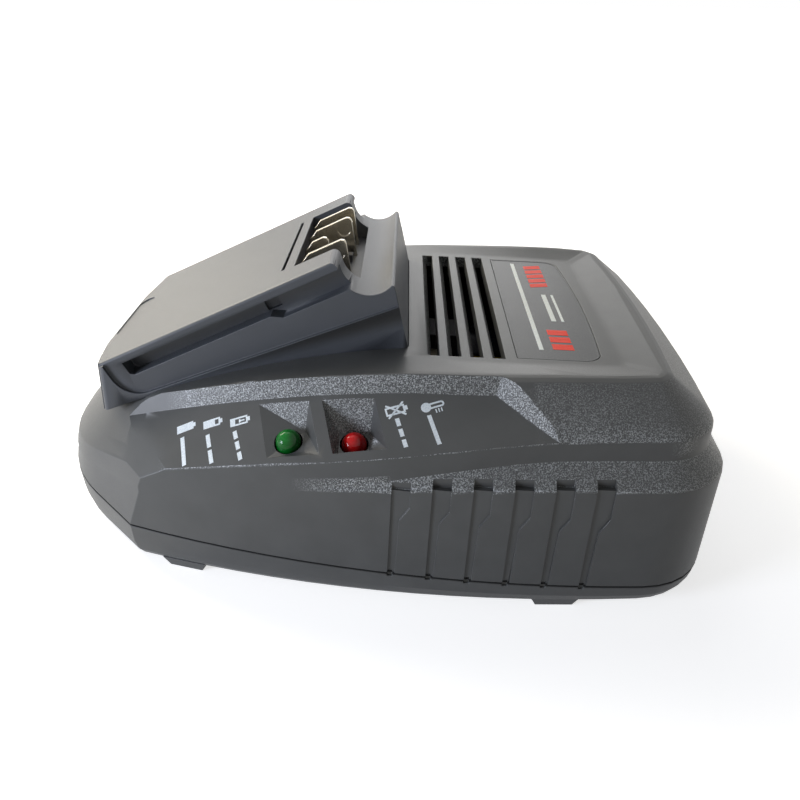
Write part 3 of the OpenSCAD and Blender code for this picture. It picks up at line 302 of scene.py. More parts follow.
def sharp_edges(piece, width, angle):
    """Marks the edges over the angle, each with the share of the width that its faces have room for."""
    work = bmesh.new()
    work.from_mesh(piece.data)
    share = work.edges.layers.float.new("bevel_weight_edge")
    for edge in work.edges:
        length = edge.calc_length()
        if length < SHORT_EDGE or edge.calc_face_angle(0) < angle:
            continue
        start = edge.verts[0].co
        along = (edge.verts[1].co - start) / length
        room = min(max(along.cross(v.co - start).length for v in face.verts) for face in edge.link_faces)
        edge[share] = min(1.0, DEPTH_SHARE * room / width, LENGTH_SHARE * length / width)
    work.to_mesh(piece.data)
    ground = BVHTree.FromBMesh(work)
    work.free()
    return ground


def astray(mesh, ground, reach):
    """Corners of the triangles that face away from all of the ground beside them."""
    mesh.calc_loop_triangles()
    corners = []
    for triangle in mesh.loop_triangles:
        points = [mesh.vertices[v].co for v in triangle.vertices]
        beside = ground.find_nearest_range(sum(points, Vector()) / 3, reach)
        if triangle.area > SLIVER and not any(triangle.normal.dot(hit[1]) > SAME_WAY for hit in beside):
            corners += points
    return corners


def round_edges(piece, width, angle=35, segments=2):
    """Rounds the sharp edges, and those whose rounding runs over its neighbours by less or not at all."""
    ground = sharp_edges(piece, width, radians(angle))
    plain = piece.data.copy()
    corners = KDTree(len(plain.vertices))
    for vertex in plain.vertices:
        corners.insert(vertex.co, vertex.index)
    corners.balance()
    meeting = {}
    for edge in plain.edges:
        for vertex in edge.vertices:
            meeting.setdefault(vertex, []).append(edge.index)
    shares = [0.0] * len(plain.edges)
    plain.attributes["bevel_weight_edge"].data.foreach_get("value", shares)
    edged = [share > 0 for share in shares]
    crisp = plain.attributes.get("sharp_edge") or plain.attributes.new("sharp_edge", "BOOLEAN", "EDGE")
    fault = max(FAULT_WIDTHS * width, FAULT_REACH)
    for turn in range(TRIES):
        plain.attributes["bevel_weight_edge"].data.foreach_set("value", shares)
        crisp.data.foreach_set("value", [e and share < CRISP_SHARE for e, share in zip(edged, shares)])
        piece.data = plain.copy()
        piece.data.name = piece.name
        bevel = piece.modifiers.new("rounding", "BEVEL")
        bevel.width = width
        bevel.segments = segments
        bevel.limit_method = "WEIGHT"
        bevel.use_clamp_overlap = False
        apply_modifiers(piece)
        wrong = astray(piece.data, ground, max(width, GROUND_REACH))
        if not wrong:
            break
        near = {hit[1] for corner in wrong for hit in corners.find_range(corner, fault)}
        for edge in {e for vertex in near for e in meeting[vertex]}:
            shares[edge] *= 0.5 if turn < HALVINGS else 0.0
    pick(piece)
    bpy.ops.object.shade_smooth(keep_sharp_edges=True)
    even = piece.modifiers.new("even", "WEIGHTED_NORMAL")
    even.keep_sharp = True
    apply_modifiers(piece)


def smooth(piece, angle):
    pick(piece)
    bpy.ops.object.shade_smooth_by_angle(angle=radians(angle))


def join(pieces, name):
    if len(pieces) == 1:
        pieces[0].name = pieces[0].data.name = name
        return pieces[0]
    deselect()
    for piece in pieces:
        piece.select_set(True)
    bpy.context.view_layer.objects.active = pieces[0]
    bpy.ops.object.join()
    return added(name)


def node_copy(node, name):
    """A copy of a node's mesh, with its doubles merged, hairlines closed and flat faces made whole."""
    mesh = NODES[node].data.copy()
    mesh.materials.clear()
    piece = bpy.data.objects.new(name, mesh)
    mesh.name = name
    bpy.context.scene.collection.objects.link(piece)
    edit_all(piece)
    bpy.ops.mesh.remove_doubles(threshold=HAIRLINE)
    bpy.ops.mesh.select_all(action="DESELECT")
    bpy.ops.mesh.select_mode(type="FACE")
    bpy.ops.mesh.select_interior_faces()
    bpy.ops.mesh.delete(type="FACE")
    bpy.ops.mesh.select_all(action="SELECT")
    bpy.ops.mesh.dissolve_limited(angle_limit=FLAT_ANGLE)
    done()
    return piece


def finish_piece(piece, finish, nodes=()):
    """Gives a piece its finish, its body and the nodes that it stands for."""
    piece.data.materials.clear()
    piece.data.materials.append(finish)
    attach(piece, "root")
    if nodes:
        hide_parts(*nodes)


# ---- finishes ----

class Finish:
    """A node material that is put together socket by socket."""

    def __init__(self, name):
        self.material = bpy.data.materials.new(name)
        self.material.use_nodes = True
        self.tree = self.material.node_tree
        self.tree.nodes.clear()
        self.shader = self.add("ShaderNodeBsdfPrincipled")
        output = self.add("ShaderNodeOutputMaterial")
        self.tree.links.new(self.shader.outputs[0], output.inputs["Surface"])
        self.place = self.add("ShaderNodeTexCoord").outputs["Object"]

    def add(self, kind, inputs=None, **settings):
        node = self.tree.nodes.new(kind)
        for key, value in settings.items():
            setattr(node, key, value)
        for key, value in (inputs or {}).items():
            self.put(node.inputs[key], value)
        return node

    def put(self, socket, value):
        if isinstance(value, bpy.types.NodeSocket):
            self.tree.links.new(value, socket)
        else:
            socket.default_value = value

    def set(self, **values):
        for key, value in values.items():
            self.put(self.shader.inputs[key.replace("_", " ")], value)

    def noise(self, size, detail=2.0, roughness=0.5, where=None):
        return self.add("ShaderNodeTexNoise", {
            "Vector": where or self.place, "Scale": 1 / size, "Detail": detail, "Roughness": roughness,
        }).outputs["Fac"]

    def span(self, value, low, high, to_low, to_high):
        return self.add("ShaderNodeMapRange", {
            "Value": value, "From Min": low, "From Max": high, "To Min": to_low, "To Max": to_high,
        }).outputs["Result"]

    def rise(self, value, none, full):
        """0 on the near side of none, 1 beyond full, whichever of the two is higher."""
        return self.span(value, none, full, 0, 1)

    def fall(self, value, full, none):
        """1 on the near side of full, 0 beyond none."""
        return self.span(value, full, none, 1, 0)

    def spread(self, noise, low, high):
        """Draws a noise pattern out over a range."""
        return self.span(noise, *NOISE, low, high)

    def math(self, operation, a, b=0.0):
        node = self.add("ShaderNodeMath", operation=operation)
        self.put(node.inputs[0], a)
        self.put(node.inputs[1], b)
        return node.outputs[0]

    def times(self, product, *factors):
        for factor in factors:
            product = self.math("MULTIPLY", product, factor)
        return product

    def dot(self, a, b):
        return self.add("ShaderNodeVectorMath", {0: a, 1: b}, operation="DOT_PRODUCT").outputs["Value"]

    def length(self, vector):
        return self.add("ShaderNodeVectorMath", {0: vector}, operation="LENGTH").outputs["Value"]

    def blend(self, factor, a, b):
        node = self.add("ShaderNodeMix", data_type="RGBA")
        self.put(node.inputs["Factor"], factor)
        for socket, colour in ((node.inputs[6], a), (node.inputs[7], b)):
            self.put(socket, colour if isinstance(colour, bpy.types.NodeSocket) else (*colour, 1))
        return node.outputs[2]

    def mottle(self, pattern, colour, uneven):
        """The colour, darker and lighter by the same share as the pattern goes."""
        return self.blend(pattern, shade(colour, 1 - uneven), shade(colour, 1 + uneven))

    def bump(self, height, depth):
        return self.add("ShaderNodeBump", {"Height": height, "Distance": depth}).outputs["Normal"]


def shade(colour, factor):
    return tuple(min(1.0, c * factor) for c in colour)


def moulded(name, colour, grain, depth, rough=0.4, uneven=0.1, painted_glint=0.0):
    """Spark-eroded plastic with a fine face. With painted glints it is the housing's, which also has coarse
    grains on its slopes, painted paler as glints, and a painted shadow along its joint."""
    f = Finish(name)
    fine = f.noise(grain * 0.6, 2, 0.6)
    broad = f.noise(9 * MM, 3)
    tone = f.math("ADD", f.times(broad, 0.7), f.times(fine, 0.3))
    base = f.mottle(f.rise(tone, 0.35, 0.65), colour, uneven)
    relief = fine
    if painted_glint:
        stipple = f.noise(grain, 1, 0.6)
        zone = slopes(f)
        # painted glints: the grains on the slopes are painted paler, and below they are made glossier
        grains = f.times(f.rise(stipple, *GLINTING_NOISE), zone)
        base = f.blend(f.times(grains, painted_glint), base, shade(colour, PAINTED_GLINT_SHADE))
        relief = f.math("ADD", f.times(fine, FINE_RELIEF), f.times(stipple, zone))
        fine = f.math("SUBTRACT", fine, f.times(grains, GLINT_GLOSS))
        # painted shadow along the joint of the shells, which is also made matt there
        off = f.math("ABSOLUTE", f.math("SUBTRACT", f.dot(f.place, JOINT_UP), JOINT_AT))
        lit = f.rise(off, *JOINT_EDGE)
        base = f.blend(lit, shade(colour, PAINTED_JOINT_SHADOW), base)
        matt = f.math("SUBTRACT", 1.0, lit)
    roughness = f.spread(fine, rough - 0.06, rough + 0.1)
    f.set(
        Base_Color=base,
        Roughness=f.math("MAXIMUM", roughness, matt) if painted_glint else roughness,
        Normal=f.bump(relief, depth),
    )
    return f.material


def slopes(f):
    """Where the coarse grain and its painted glints lie: 1 on the housing's slopes, in the LED pockets and
    where the slopes run out on the flank, 0 on the deck, walls, nose and the floor of the sign panel."""
    normal = f.add("ShaderNodeNewGeometry").outputs["Normal"]
    nx, ny, nz = f.add("ShaderNodeSeparateXYZ", {"Vector": normal}).outputs
    x, y, z = f.add("ShaderNodeSeparateXYZ", {"Vector": f.place}).outputs
    leaning = f.times(f.rise(nz, *WALL_NZ), f.fall(nz, *DECK_NZ))
    pocket = f.times(f.fall(ny, *POCKET_NY), f.rise(y, *FLANK_Y), f.rise(z, *POCKET_Z))
    height = f.math("SUBTRACT", z, f.times(x, RUNOUT_RISE))
    runout = f.times(
        f.fall(ny, *FLANK_NY), f.rise(height, *RUNOUT_FOOT), f.rise(height, *RUNOUT_HEAD),
        f.rise(x, *RUNOUT_START), f.rise(x, *RUNOUT_END))
    zone = f.math("MAXIMUM", f.math("MAXIMUM", leaning, pocket), runout)
    panel = f.times(f.rise(f.dot(normal, PANEL_NORMAL), *PANEL_LIKE), f.fall(x, *PANEL_END))
    beside_panel = f.math("SUBTRACT", 1.0, panel)
    return f.times(zone, f.rise(nx, *NOSE_NX), f.rise(x, *NOSE_X), f.rise(z, *BELT_Z), beside_panel)


def smooth_plastic(name, colour, rough, grain=0.25 * MM, depth=0.01 * MM):
    """Plainly moulded, cast or drawn stuff with a faint grain, from rubber to glass."""
    f = Finish(name)
    fine = f.noise(grain, 3, 0.6)
    broad = f.noise(6 * MM, 2)
    f.set(
        Base_Color=f.mottle(broad, colour, uneven=0.1),
        Roughness=f.spread(fine, rough - 0.06, rough + 0.08),
        Normal=f.bump(fine, depth),
    )
    return f.material


def metal(name, colour, rough, grain=0.12 * MM, depth=0.004 * MM, stretch=(1, 1, 1), vary=0.08):
    """Rolled or plated metal, with its brushing drawn out along an axis whose stretch is under 1."""
    f = Finish(name)
    drawn = f.add("ShaderNodeMapping", {"Vector": f.place, "Scale": stretch}).outputs["Vector"]
    brushed = f.noise(grain, 3, 0.6, drawn)
    broad = f.noise(2.5 * MM, 3)
    f.set(
        Base_Color=f.mottle(broad, colour, uneven=0.12),
        Roughness=f.spread(brushed, rough - vary, rough + vary),
        Normal=f.bump(brushed, depth),
        Metallic=1.0,
    )
    return f.material


def wound_wire(name, colour, pitch):
    """Enamelled wire laid turn beside turn, with painted shade in the grooves between the turns."""
    f = Finish(name)
    turns = f.add("ShaderNodeTexWave", {
        "Vector": f.place, "Scale": WAVE / pitch, "Distortion": 0.6, "Detail": 1.0,
    }, bands_direction="Z").outputs["Fac"]
    f.set(
        # painted shade: darker in the grooves between the turns, where the bump is low
        Base_Color=f.blend(turns, shade(colour, 0.55), shade(colour, 1.1)),
        Roughness=f.spread(f.noise(0.4 * MM), 0.24, 0.38),
        Normal=f.bump(turns, 0.08 * MM),
        Metallic=0.8,
        Coat_Weight=0.5,
    )
    return f.material


def etched_board(name, colour):
    """Solder-masked board with faint traces."""
    f = Finish(name)
    traces = f.add("ShaderNodeTexBrick", {
        "Vector": f.place, "Scale": 90.0, "Mortar Size": 0.012, "Brick Width": 0.9, "Row Height": 0.35,
    }).outputs["Fac"]
    weave = f.noise(0.5 * MM, 2)
    f.set(
        Base_Color=f.blend(traces, colour, shade(colour, 1.8)),
        Roughness=f.spread(weave, 0.28, 0.42),
        Normal=f.bump(f.math("ADD", traces, f.times(weave, 0.2)), 0.03 * MM),
    )
    return f.material


def lens(name, colour, centre):
    """Tinted epoxy, painted paler in the middle and darker towards the rim, with a painted reflection of
    the reflector cup as a paler band inside.
    """
    f = Finish(name)
    upright = f.add("ShaderNodeMapping", {
        "Vector": f.place, "Location": centre, "Rotation": (LED_LEAN, 0, 0),
    }, vector_type="TEXTURE").outputs["Vector"]
    flat = f.add("ShaderNodeVectorMath", {0: upright, 1: (1, 1, 0)}, operation="MULTIPLY").outputs["Vector"]
    radius = f.length(flat)
    # painted reflection of the reflector cup: a paler band round the cup's rim
    from_rim = f.math("ABSOLUTE", f.math("SUBTRACT", radius, CUP_RADIUS))
    cup_reflection = f.math("SUBTRACT", 1.0, f.times(from_rim, 1 / CUP_HALF))
    cup_reflection = f.math("MAXIMUM", cup_reflection, 0.0)
    cloud = f.noise(1.2 * MM, 3)
    # painted light and shade: paler in the middle, darker towards the rim
    body = f.blend(f.rise(radius, *DOME_SHADING), shade(colour, 1.1), shade(colour, 0.4))
    body = f.blend(f.times(cup_reflection, 0.3), body, tuple(1.1 * c + 0.03 for c in colour))
    f.set(
        Base_Color=f.blend(f.times(cloud, 0.35), body, shade(colour, 0.6)),
        Roughness=f.spread(f.noise(0.8 * MM, 3), 0.07, 0.16),
        Normal=f.bump(f.noise(1.6 * MM, 2), 0.02 * MM),
        Specular_IOR_Level=0.25,
    )
    return f.material


def printed(name, colour):
    """Screen-printed ink: slightly thin in places, with a soft sheen."""
    f = Finish(name)
    thin = f.noise(0.35 * MM, 3, 0.6)
    f.set(
        Base_Color=f.blend(f.rise(thin, 0.35, 0.6), shade(colour, 0.86), shade(colour, 1.05)),
        Roughness=f.spread(thin, 0.4, 0.55),
        Normal=f.bump(thin, 0.01 * MM),
        Specular_IOR_Level=0.2,
    )
    return f.material


# ---- pieces ----

class CHARGER_OT_housing(bpy.types.Operator):
    """Make the two moulded shells with rounded edges and stippled faces"""
    bl_idname = "charger.housing"
    bl_label = "Moulded housing"

    def execute(self, context):
        shape, finish = context.scene.charger_shape, context.scene.charger_finish
        # the shells' finish: stipple, with painted glints on the slopes and a painted shadow along the joint
        skin = moulded(
            "stippled_housing", tuple(finish.housing), finish.grain, finish.grain_depth, painted_glint=finish.painted_glint)
        for node, name in (("top_shell", "upper_housing"), ("bottom_shell", "lower_housing")):
            piece = node_copy(node, name)
            round_edges(piece, shape.shell_round, angle=SHELL_ANGLE)
            finish_piece(piece, skin, [node])
        return {"FINISHED"}


class CHARGER_OT_dock(bpy.types.Operator):
    """Make the battery dock with its rails, scoop and badge recess"""
    bl_idname = "charger.dock"
    bl_label = "Battery dock"

    # How much finer and shallower its grain is than the housing's
    finer = 0.7
    shallower = 0.3

    def execute(self, context):
        shape, finish = context.scene.charger_shape, context.scene.charger_finish
        piece = node_copy("battery_dock", "slide_dock")
        round_edges(piece, shape.dock_round, angle=SHELL_ANGLE)
        skin = moulded(
            "satin_dock", tuple(finish.dock), finish.grain * self.finer,
            finish.grain_depth * self.shallower, rough=0.42, uneven=0.07)
        finish_piece(piece, skin, ["battery_dock"])
        return {"FINISHED"}


class CHARGER_OT_terminals(bpy.types.Operator):
    """Make the stamped contact blades and the block that holds them"""
    bl_idname = "charger.terminals"
    bl_label = "Terminals"

    # In mm with the joint level: each blade's middle across the dock, its thickness, the x and z of a
    # long blade's coined patch, the punch's thickness, and how deep it presses
    blades = {"positive": 15, "data": 5, "temperature": -5, "negative": -15}
    thickness = 1.2
    coin_at = (-10.3, 71.6)
    punch = 0.5
    pressed = 0.1

    def execute(self, context):
        shape = context.scene.charger_shape
        plated = metal(
            "plated_contact", (0.56, 0.515, 0.42), rough=0.24, grain=0.8 * MM, depth=0.0005 * MM, vary=0.02)
        for kind, y in self.blades.items():
            piece = node_copy("contact_" + kind, "blade_" + kind)
            if kind != "temperature":
                self.coin(piece, y, shape.coin_radius)
            round_edges(piece, shape.blade_round, segments=3)
            finish_piece(piece, plated, ["contact_" + kind])
        block = node_copy("contact_carrier", "terminal_block")
        round_edges(block, 0.2 * MM)
        black = smooth_plastic("black_carrier", (0.014, 0.014, 0.016), 0.45)
        finish_piece(block, black, ["contact_carrier"])
        return {"FINISHED"}

    def coin(self, piece, y, radius):
        """Presses a shallow round patch into both sides of a blade."""
        x, z = self.coin_at
        for side in (-1, 1):
            deselect()
            bpy.ops.mesh.primitive_cylinder_add(
                vertices=40, radius=radius, depth=self.punch * MM, rotation=(radians(90), 0, 0),
                location=(
                    x * MM, (y + side * (self.thickness / 2 + self.punch / 2 - self.pressed)) * MM, z * MM))
            punch = added("punch")
            place(punch, STAND)
            press = piece.modifiers.new("press", "BOOLEAN")
            press.operation = "DIFFERENCE"
            press.object = punch
            apply_modifiers(piece)
            bpy.data.objects.remove(punch)


class CHARGER_OT_indicators(bpy.types.Operator):
    """Make the two LEDs with dome, barrel and foot"""
    bl_idname = "charger.indicators"
    bl_label = "Indicator LEDs"

    # Heights of the barrel and of the foot below it, and how far the foot stands back
    barrel = 5.9 * MM
    foot = 1.1 * MM
    step = 0.25 * MM

    def execute(self, context):
        shape, finish = context.scene.charger_shape, context.scene.charger_finish
        master = self.model(shape.led_radius)
        for node, colour in (("led_green", tuple(finish.green)), ("led_red", tuple(finish.red))):
            piece = master.copy()
            piece.data = master.data.copy()
            piece.name = piece.data.name = node.replace("led_", "lamp_")
            context.scene.collection.objects.link(piece)
            seat = Vector((LED_X[node] * MM, LED_Y * MM, LED_Z * MM))
            turn = Matrix.Translation(seat) @ Matrix.Rotation(LED_LEAN, 4, "X")
            place(piece, STAND @ turn)
            smooth(piece, angle=35)
            finish_piece(piece, lens(node + "_epoxy", colour, STAND @ seat), [node])
        bpy.data.objects.remove(master)
        return {"FINISHED"}

    def model(self, radius):
        """An LED that stands upright, with the middle of its dome at the origin."""
        deselect()
        bpy.ops.mesh.primitive_uv_sphere_add(segments=48, ring_count=24, radius=radius)
        piece = added("lamp")
        edit_all(piece)
        bpy.ops.mesh.bisect(plane_co=(0, 0, 0), plane_no=(0, 0, 1), clear_inner=True, use_fill=True)
        select_faces(piece, lambda normal: normal.z < -STRAIGHT)
        extrude(0, 0, -self.barrel)
        bpy.ops.mesh.inset(thickness=self.step)
        extrude(0, 0, -self.foot)
        done()
        return piece


class CHARGER_OT_panel_print(bpy.types.Operator):
    """Make the printed signs beside the LEDs and lay them on the panel's floor"""
    bl_idname = "charger.panel_print"
    bl_label = "Panel print"

    # Places and sizes are in mm with the joint level. Each sign: kind, left end, right end, then the
    # ends of its line and how many dashes it has
    signs = (
        ("full", (-46.5, -42.4, 35.1), (-41.3, -42.5, 37.6), (-44.6, -45.3, 34.0), (-42.8, -51.8, 30.4), 1),
        ("most", (-39.7, -43.7, 37.6), (-34.5, -44.0, 39.9), (-38.1, -46.9, 36.1), (-36.0, -53.3, 32.4), 2),
        ("filling", (-32.9, -45.4, 39.7), (-27.7, -45.7, 41.8), (-31.4, -48.2, 38.3), (-29, -54.5, 34.5), 3),
        ("faulty", (3.2, -51.0, 47.7), (8.4, -50.2, 49.3), (6.1, -53.0, 46.6), (8.4, -58.4, 42.5), 3),
        ("hot", (11.4, -51.6, 48.5), (16.6, -50.4, 49.9), (13.2, -52.8, 47.7), (15.7, -58.3, 43.6), 1),
    )
    # the way the panel's floor faces
    floor_normal = Vector((-0.229, -0.585, 0.778))
    # width of a line, of a stroke in a sign, and of the gap between two dashes
    bar = 1.0
    stroke = 0.42
    gap = 0.75
    # the battery sign's case and the length of the terminal at its end
    length, width = 4.5, 2.1
    terminal = 0.6
    # how far the drawings start above the floor, and how far off it is looked for
    lift = 0.1
    reach = 6
    # thickness of the film of ink, as a share of the setting, and how far outwards it lies
    film_share = 1.4
    film_offset = 0.6

    def execute(self, context):
        marks = []
        for kind, left, right, top, end, dashes in self.signs:
            sign = join(getattr(self, kind)(), "sign")
            left, right, top, end = (Vector(p) * MM for p in (left, right, top, end))
            place(sign, self.lie(left, right - left, end - top))
            marks.append(sign)
            length = (end - top).length / MM
            each = (length - self.gap * (dashes - 1)) / dashes
            line = join([
                self.patch(each / 2 + k * (each + self.gap), 0, each, self.bar) for k in range(dashes)
            ], "line")
            across = (end - top).cross(self.floor_normal)
            place(line, self.lie(top, end - top, across))
            marks.append(line)
        piece = join(marks, "panel_signs")
        place(piece, STAND)
        wrap = piece.modifiers.new("lay", "SHRINKWRAP")
        wrap.target = bpy.data.objects["upper_housing"]
        wrap.wrap_method = "PROJECT"
        wrap.use_project_z = True
        wrap.use_negative_direction = True
        wrap.use_positive_direction = True
        wrap.project_limit = self.reach * MM
        apply_modifiers(piece)
        edit_all(piece)
        bpy.ops.mesh.normals_make_consistent(inside=False)
        done()
        if sum(f.normal.z * f.area for f in piece.data.polygons) < 0:
            edit_all(piece)
            bpy.ops.mesh.flip_normals()
            done()
        film = piece.modifiers.new("film", "SOLIDIFY")
        film.thickness = context.scene.charger_shape.ink * self.film_share
        film.offset = self.film_offset
        apply_modifiers(piece)
        ink = printed("pale_ink", tuple(context.scene.charger_finish.ink))
        finish_piece(piece, ink)
        return {"FINISHED"}

    def lie(self, origin, along, down):
        """Matrix that lays a drawing with its X along one direction and its Y against the other."""
        x = along.normalized()
        z = x.cross(down).normalized()
        if z.z < 0:
            z = -z
        y = z.cross(x)
        turn = Matrix((x, y, z)).transposed().to_4x4()
        return Matrix.Translation(origin + z * self.lift * MM) @ turn

    def patch(self, x, y, length, width, turn=0.0):
        """A thin rectangle with its middle at x, y, in mm, cut up so that it can follow the floor."""
        deselect()
        bpy.ops.mesh.primitive_plane_add(size=1, location=(x * MM, y * MM, 0), rotation=(0, 0, turn))
        piece = added("patch")
        piece.scale = (length * MM, width * MM, 1)
        bpy.ops.object.transform_apply(location=True, rotation=True, scale=True)
        edit_all(piece)
        bpy.ops.mesh.subdivide(number_cuts=3)
        done()
        return piece

    def disc(self, name, corners, radius, x, y=0.0, turn=0.0):
        """A flat shape of equal sides with its middle at x, y, in mm."""
        deselect()
        bpy.ops.mesh.primitive_circle_add(
            vertices=corners, radius=radius * MM, fill_type="NGON",
            location=(x * MM, y * MM, 0), rotation=(0, 0, turn))
        return added(name)

    def case(self, filled=0.0):
        """A battery's outline with its terminal, filled from the left by the given share."""
        s, length, width = self.stroke, self.length, self.width
        y = -width / 2
        pieces = [
            self.patch(length / 2, -s / 2, length, s),
            self.patch(length / 2, -width + s / 2, length, s),
            self.patch(s / 2, y, s, width - 2 * s),
            self.patch(length - s / 2, y, s, width - 2 * s),
            self.patch(length + self.terminal / 2, y, self.terminal, width * 0.5),
        ]
        if filled:
            reach = (length - 2 * s) * filled
            pieces.append(self.patch(s + reach / 2, y, reach, width - 2 * s))
        return pieces

    def full(self):
        return self.case(filled=1.0)

    def most(self):
        return self.case(filled=0.74)

    def filling(self):
        """A battery that is nearly empty, with an arrow into it."""
        pieces = self.case(filled=0.24)
        pieces.append(self.disc("arrow", 3, 0.62, 2.55, -1.05, radians(30)))
        pieces.append(self.patch(3.3, -1.05, 0.8, 0.36))
        return pieces

    def faulty(self):
        """A battery that is crossed out."""
        cross = radians(38)
        return self.case() + [self.patch(2.4, -1.05, 5.2, self.stroke, turn) for turn in (cross, -cross)]

    def hot(self):
        """A thermometer: bulb, two sides, round end and three ticks."""
        s = self.stroke
        end = 4.7
        pieces = [
            self.disc("bulb", 32, 1.15, 1.15), self.patch(3.4, 0.5, 2.6, s), self.patch(3.4, -0.5, 2.6, s)]
        cap = self.disc("cap", 24, 0.71, end)
        edit_all(cap)
        bpy.ops.mesh.inset(thickness=s * MM)
        bpy.ops.mesh.delete(type="FACE")
        bpy.ops.mesh.select_all(action="SELECT")
        bpy.ops.mesh.bisect(plane_co=(end * MM, 0, 0), plane_no=(1, 0, 0), clear_inner=True)
        done()
        pieces.append(cap)
        pieces += [self.patch(3.1 + 0.65 * k, -1.45, 0.28, 0.9) for k in range(3)]
        return pieces


class CHARGER_OT_label_plate(bpy.types.Operator):
    """Make the label plate with plain lines, a red band and a small gauge"""
    bl_idname = "charger.label_plate"
    bl_label = "Label plate"

    # Sizes in mm. The plate's rim and the depth of the face inside it
    rim = 0.45
    sunk = 0.08
    # Each mark: the tiles' x, y, depth and width. X runs along the plate's short side, and the marks'
    # lines along Y. The band and the gauge repeat their tile by a step towards the left flank.
    line = ((40.6, 1.2, 1.1, 64),)
    bars = ((46.6, -2.6, 1.3, 19.5), (49.0, -2.6, 0.7, 19.5))
    band = (46.4, 30.4, 5.2, 2.9)
    band_step, band_count, band_slant = 3.9, 5, 0.25
    gauge = (46.2, -19.9, 5.2, 3.2)
    gauge_step = 4.4
    # how far a tile's middle is above that face, as a share of the ink's thickness
    proud = 0.3

    def execute(self, context):
        shape, finish = context.scene.charger_shape, context.scene.charger_finish
        plate = node_copy("label_plate", "name_free_plate")
        edit(plate, "FACE")
        select_faces(plate, lambda normal: normal.z > STRAIGHT)
        bpy.ops.mesh.inset(thickness=self.rim * MM)
        extrude(0, 0, -self.sunk * MM)
        done()
        round_edges(plate, 0.06 * MM, angle=25)
        film = moulded("satin_film", tuple(finish.plate), 0.5 * MM, 0.02 * MM, uneven=0.08)
        finish_piece(plate, film, ["label_plate"])
        accent = printed("red_ink", tuple(finish.accent))
        pale = printed("white_ink", tuple(finish.ink))
        self.lay([self.tile(*sizes) for sizes in self.line], "plate_line", pale)
        self.lay(self.row(self.band, self.band_step, self.band_count, self.band_slant), "plate_band", accent)
        self.lay(self.row(self.gauge, self.gauge_step, shape.gauge_bars), "plate_gauge", accent)
        self.lay([self.tile(*sizes) for sizes in self.bars], "plate_mark", pale)
        return {"FINISHED"}

    def tile(self, x, y, depth, width, slant=0.0):
        """A low printed rectangle on the plate, in mm, its sides turned by the slant."""
        ink = bpy.context.scene.charger_shape.ink
        deselect()
        bpy.ops.mesh.primitive_cube_add(size=1, location=(0, 0, 0))
        piece = added("tile")
        piece.scale = (depth * MM, width * MM, ink)
        bpy.ops.object.transform_apply(location=True, rotation=True, scale=True)
        for vert in piece.data.vertices:
            vert.co.y += vert.co.x * slant
        place(piece, Matrix.Translation((x * MM, y * MM, (DECK_Z - self.sunk) * MM + ink * self.proud)))
        return piece

    def row(self, sizes, step, count, slant=0.0):
        """Equal tiles, each a step nearer to the left flank than the last."""
        x, y, depth, width = sizes
        return [self.tile(x, y - step * k, depth, width, slant) for k in range(count)]

    def lay(self, tiles, name, finish):
        piece = join(tiles, name)
        place(piece, STAND)
        round_edges(piece, 0.012 * MM, angle=40, segments=1)
        finish_piece(piece, finish)


class CHARGER_OT_cord_entry(bpy.types.Operator):
    """Make the rubber gland in the rear face"""
    bl_idname = "charger.cord_entry"
    bl_label = "Cord gland"

    # Rings of the gland from its inner end to the outside and back through the bore: x from the rear
    # face and radius, both in mm
    rings = (
        (-12.0, 5.9), (-11.6, 6.5), (-9.4, 6.5), (-9.2, 6.0), (-7.6, 6.0), (-7.4, 6.5),
        (-5.6, 6.5), (-5.4, 6.0), (-3.8, 6.0), (-3.6, 6.5), (-1.6, 6.5), (-1.6, 8.7),
        (-1.3, 9.0), (-0.6, 9.0), (-0.2, 8.6), (-0.1, 8.0), (-0.1, 5.6), (-0.5, 5.2),
        (-0.5, 4.6), (-0.2, 4.3), (-0.4, 3.8), (-1.0, 3.6), (-11.5, 3.6), (-12.0, 3.9),
    )

    def execute(self, context):
        x, r = self.rings[0]
        deselect()
        bpy.ops.mesh.primitive_circle_add(
            vertices=64, radius=r * MM, rotation=(0, radians(90), 0), location=(x * MM, 0, 0))
        piece = added("gland_rubber")
        bpy.ops.object.transform_apply(location=True, rotation=True, scale=True)
        edit_all(piece)
        for nx, nr in self.rings[1:] + self.rings[:1]:
            extrude((nx - x) * MM, 0, 0)
            bpy.ops.transform.resize(value=(1, nr / r, nr / r), center_override=(nx * MM, 0, 0))
            x, r = nx, nr
        bpy.ops.mesh.select_all(action="SELECT")
        bpy.ops.mesh.remove_doubles(threshold=0.01 * MM)
        bpy.ops.mesh.normals_make_consistent(inside=False)
        done()
        place(piece, STAND @ Matrix.Translation((REAR_X * MM, 0, CORD_Z * MM)))
        smooth(piece, angle=40)
        rubber = smooth_plastic("matt_rubber", (0.014, 0.014, 0.015), 0.62, 0.4 * MM, 0.02 * MM)
        finish_piece(piece, rubber, ["cord_gland"])
        return {"FINISHED"}


class CHARGER_OT_fasteners(bpy.types.Operator):
    """Make the screws of the shells, board, dock and cord clamp with rounded edges"""
    bl_idname = "charger.fasteners"
    bl_label = "Screws"

    def execute(self, context):
        zinc = metal("zinc_steel", (0.52, 0.53, 0.55), rough=0.34, grain=0.3 * MM)
        for node, name in (
                ("housing_screws", "shell_fasteners"), ("board_screws", "board_fasteners"),
                ("dock_screws", "dock_fasteners"), ("clamp_screws", "clamp_fasteners")):
            piece = node_copy(node, name)
            round_edges(piece, 0.15 * MM)
            finish_piece(piece, zinc, [node])
        return {"FINISHED"}


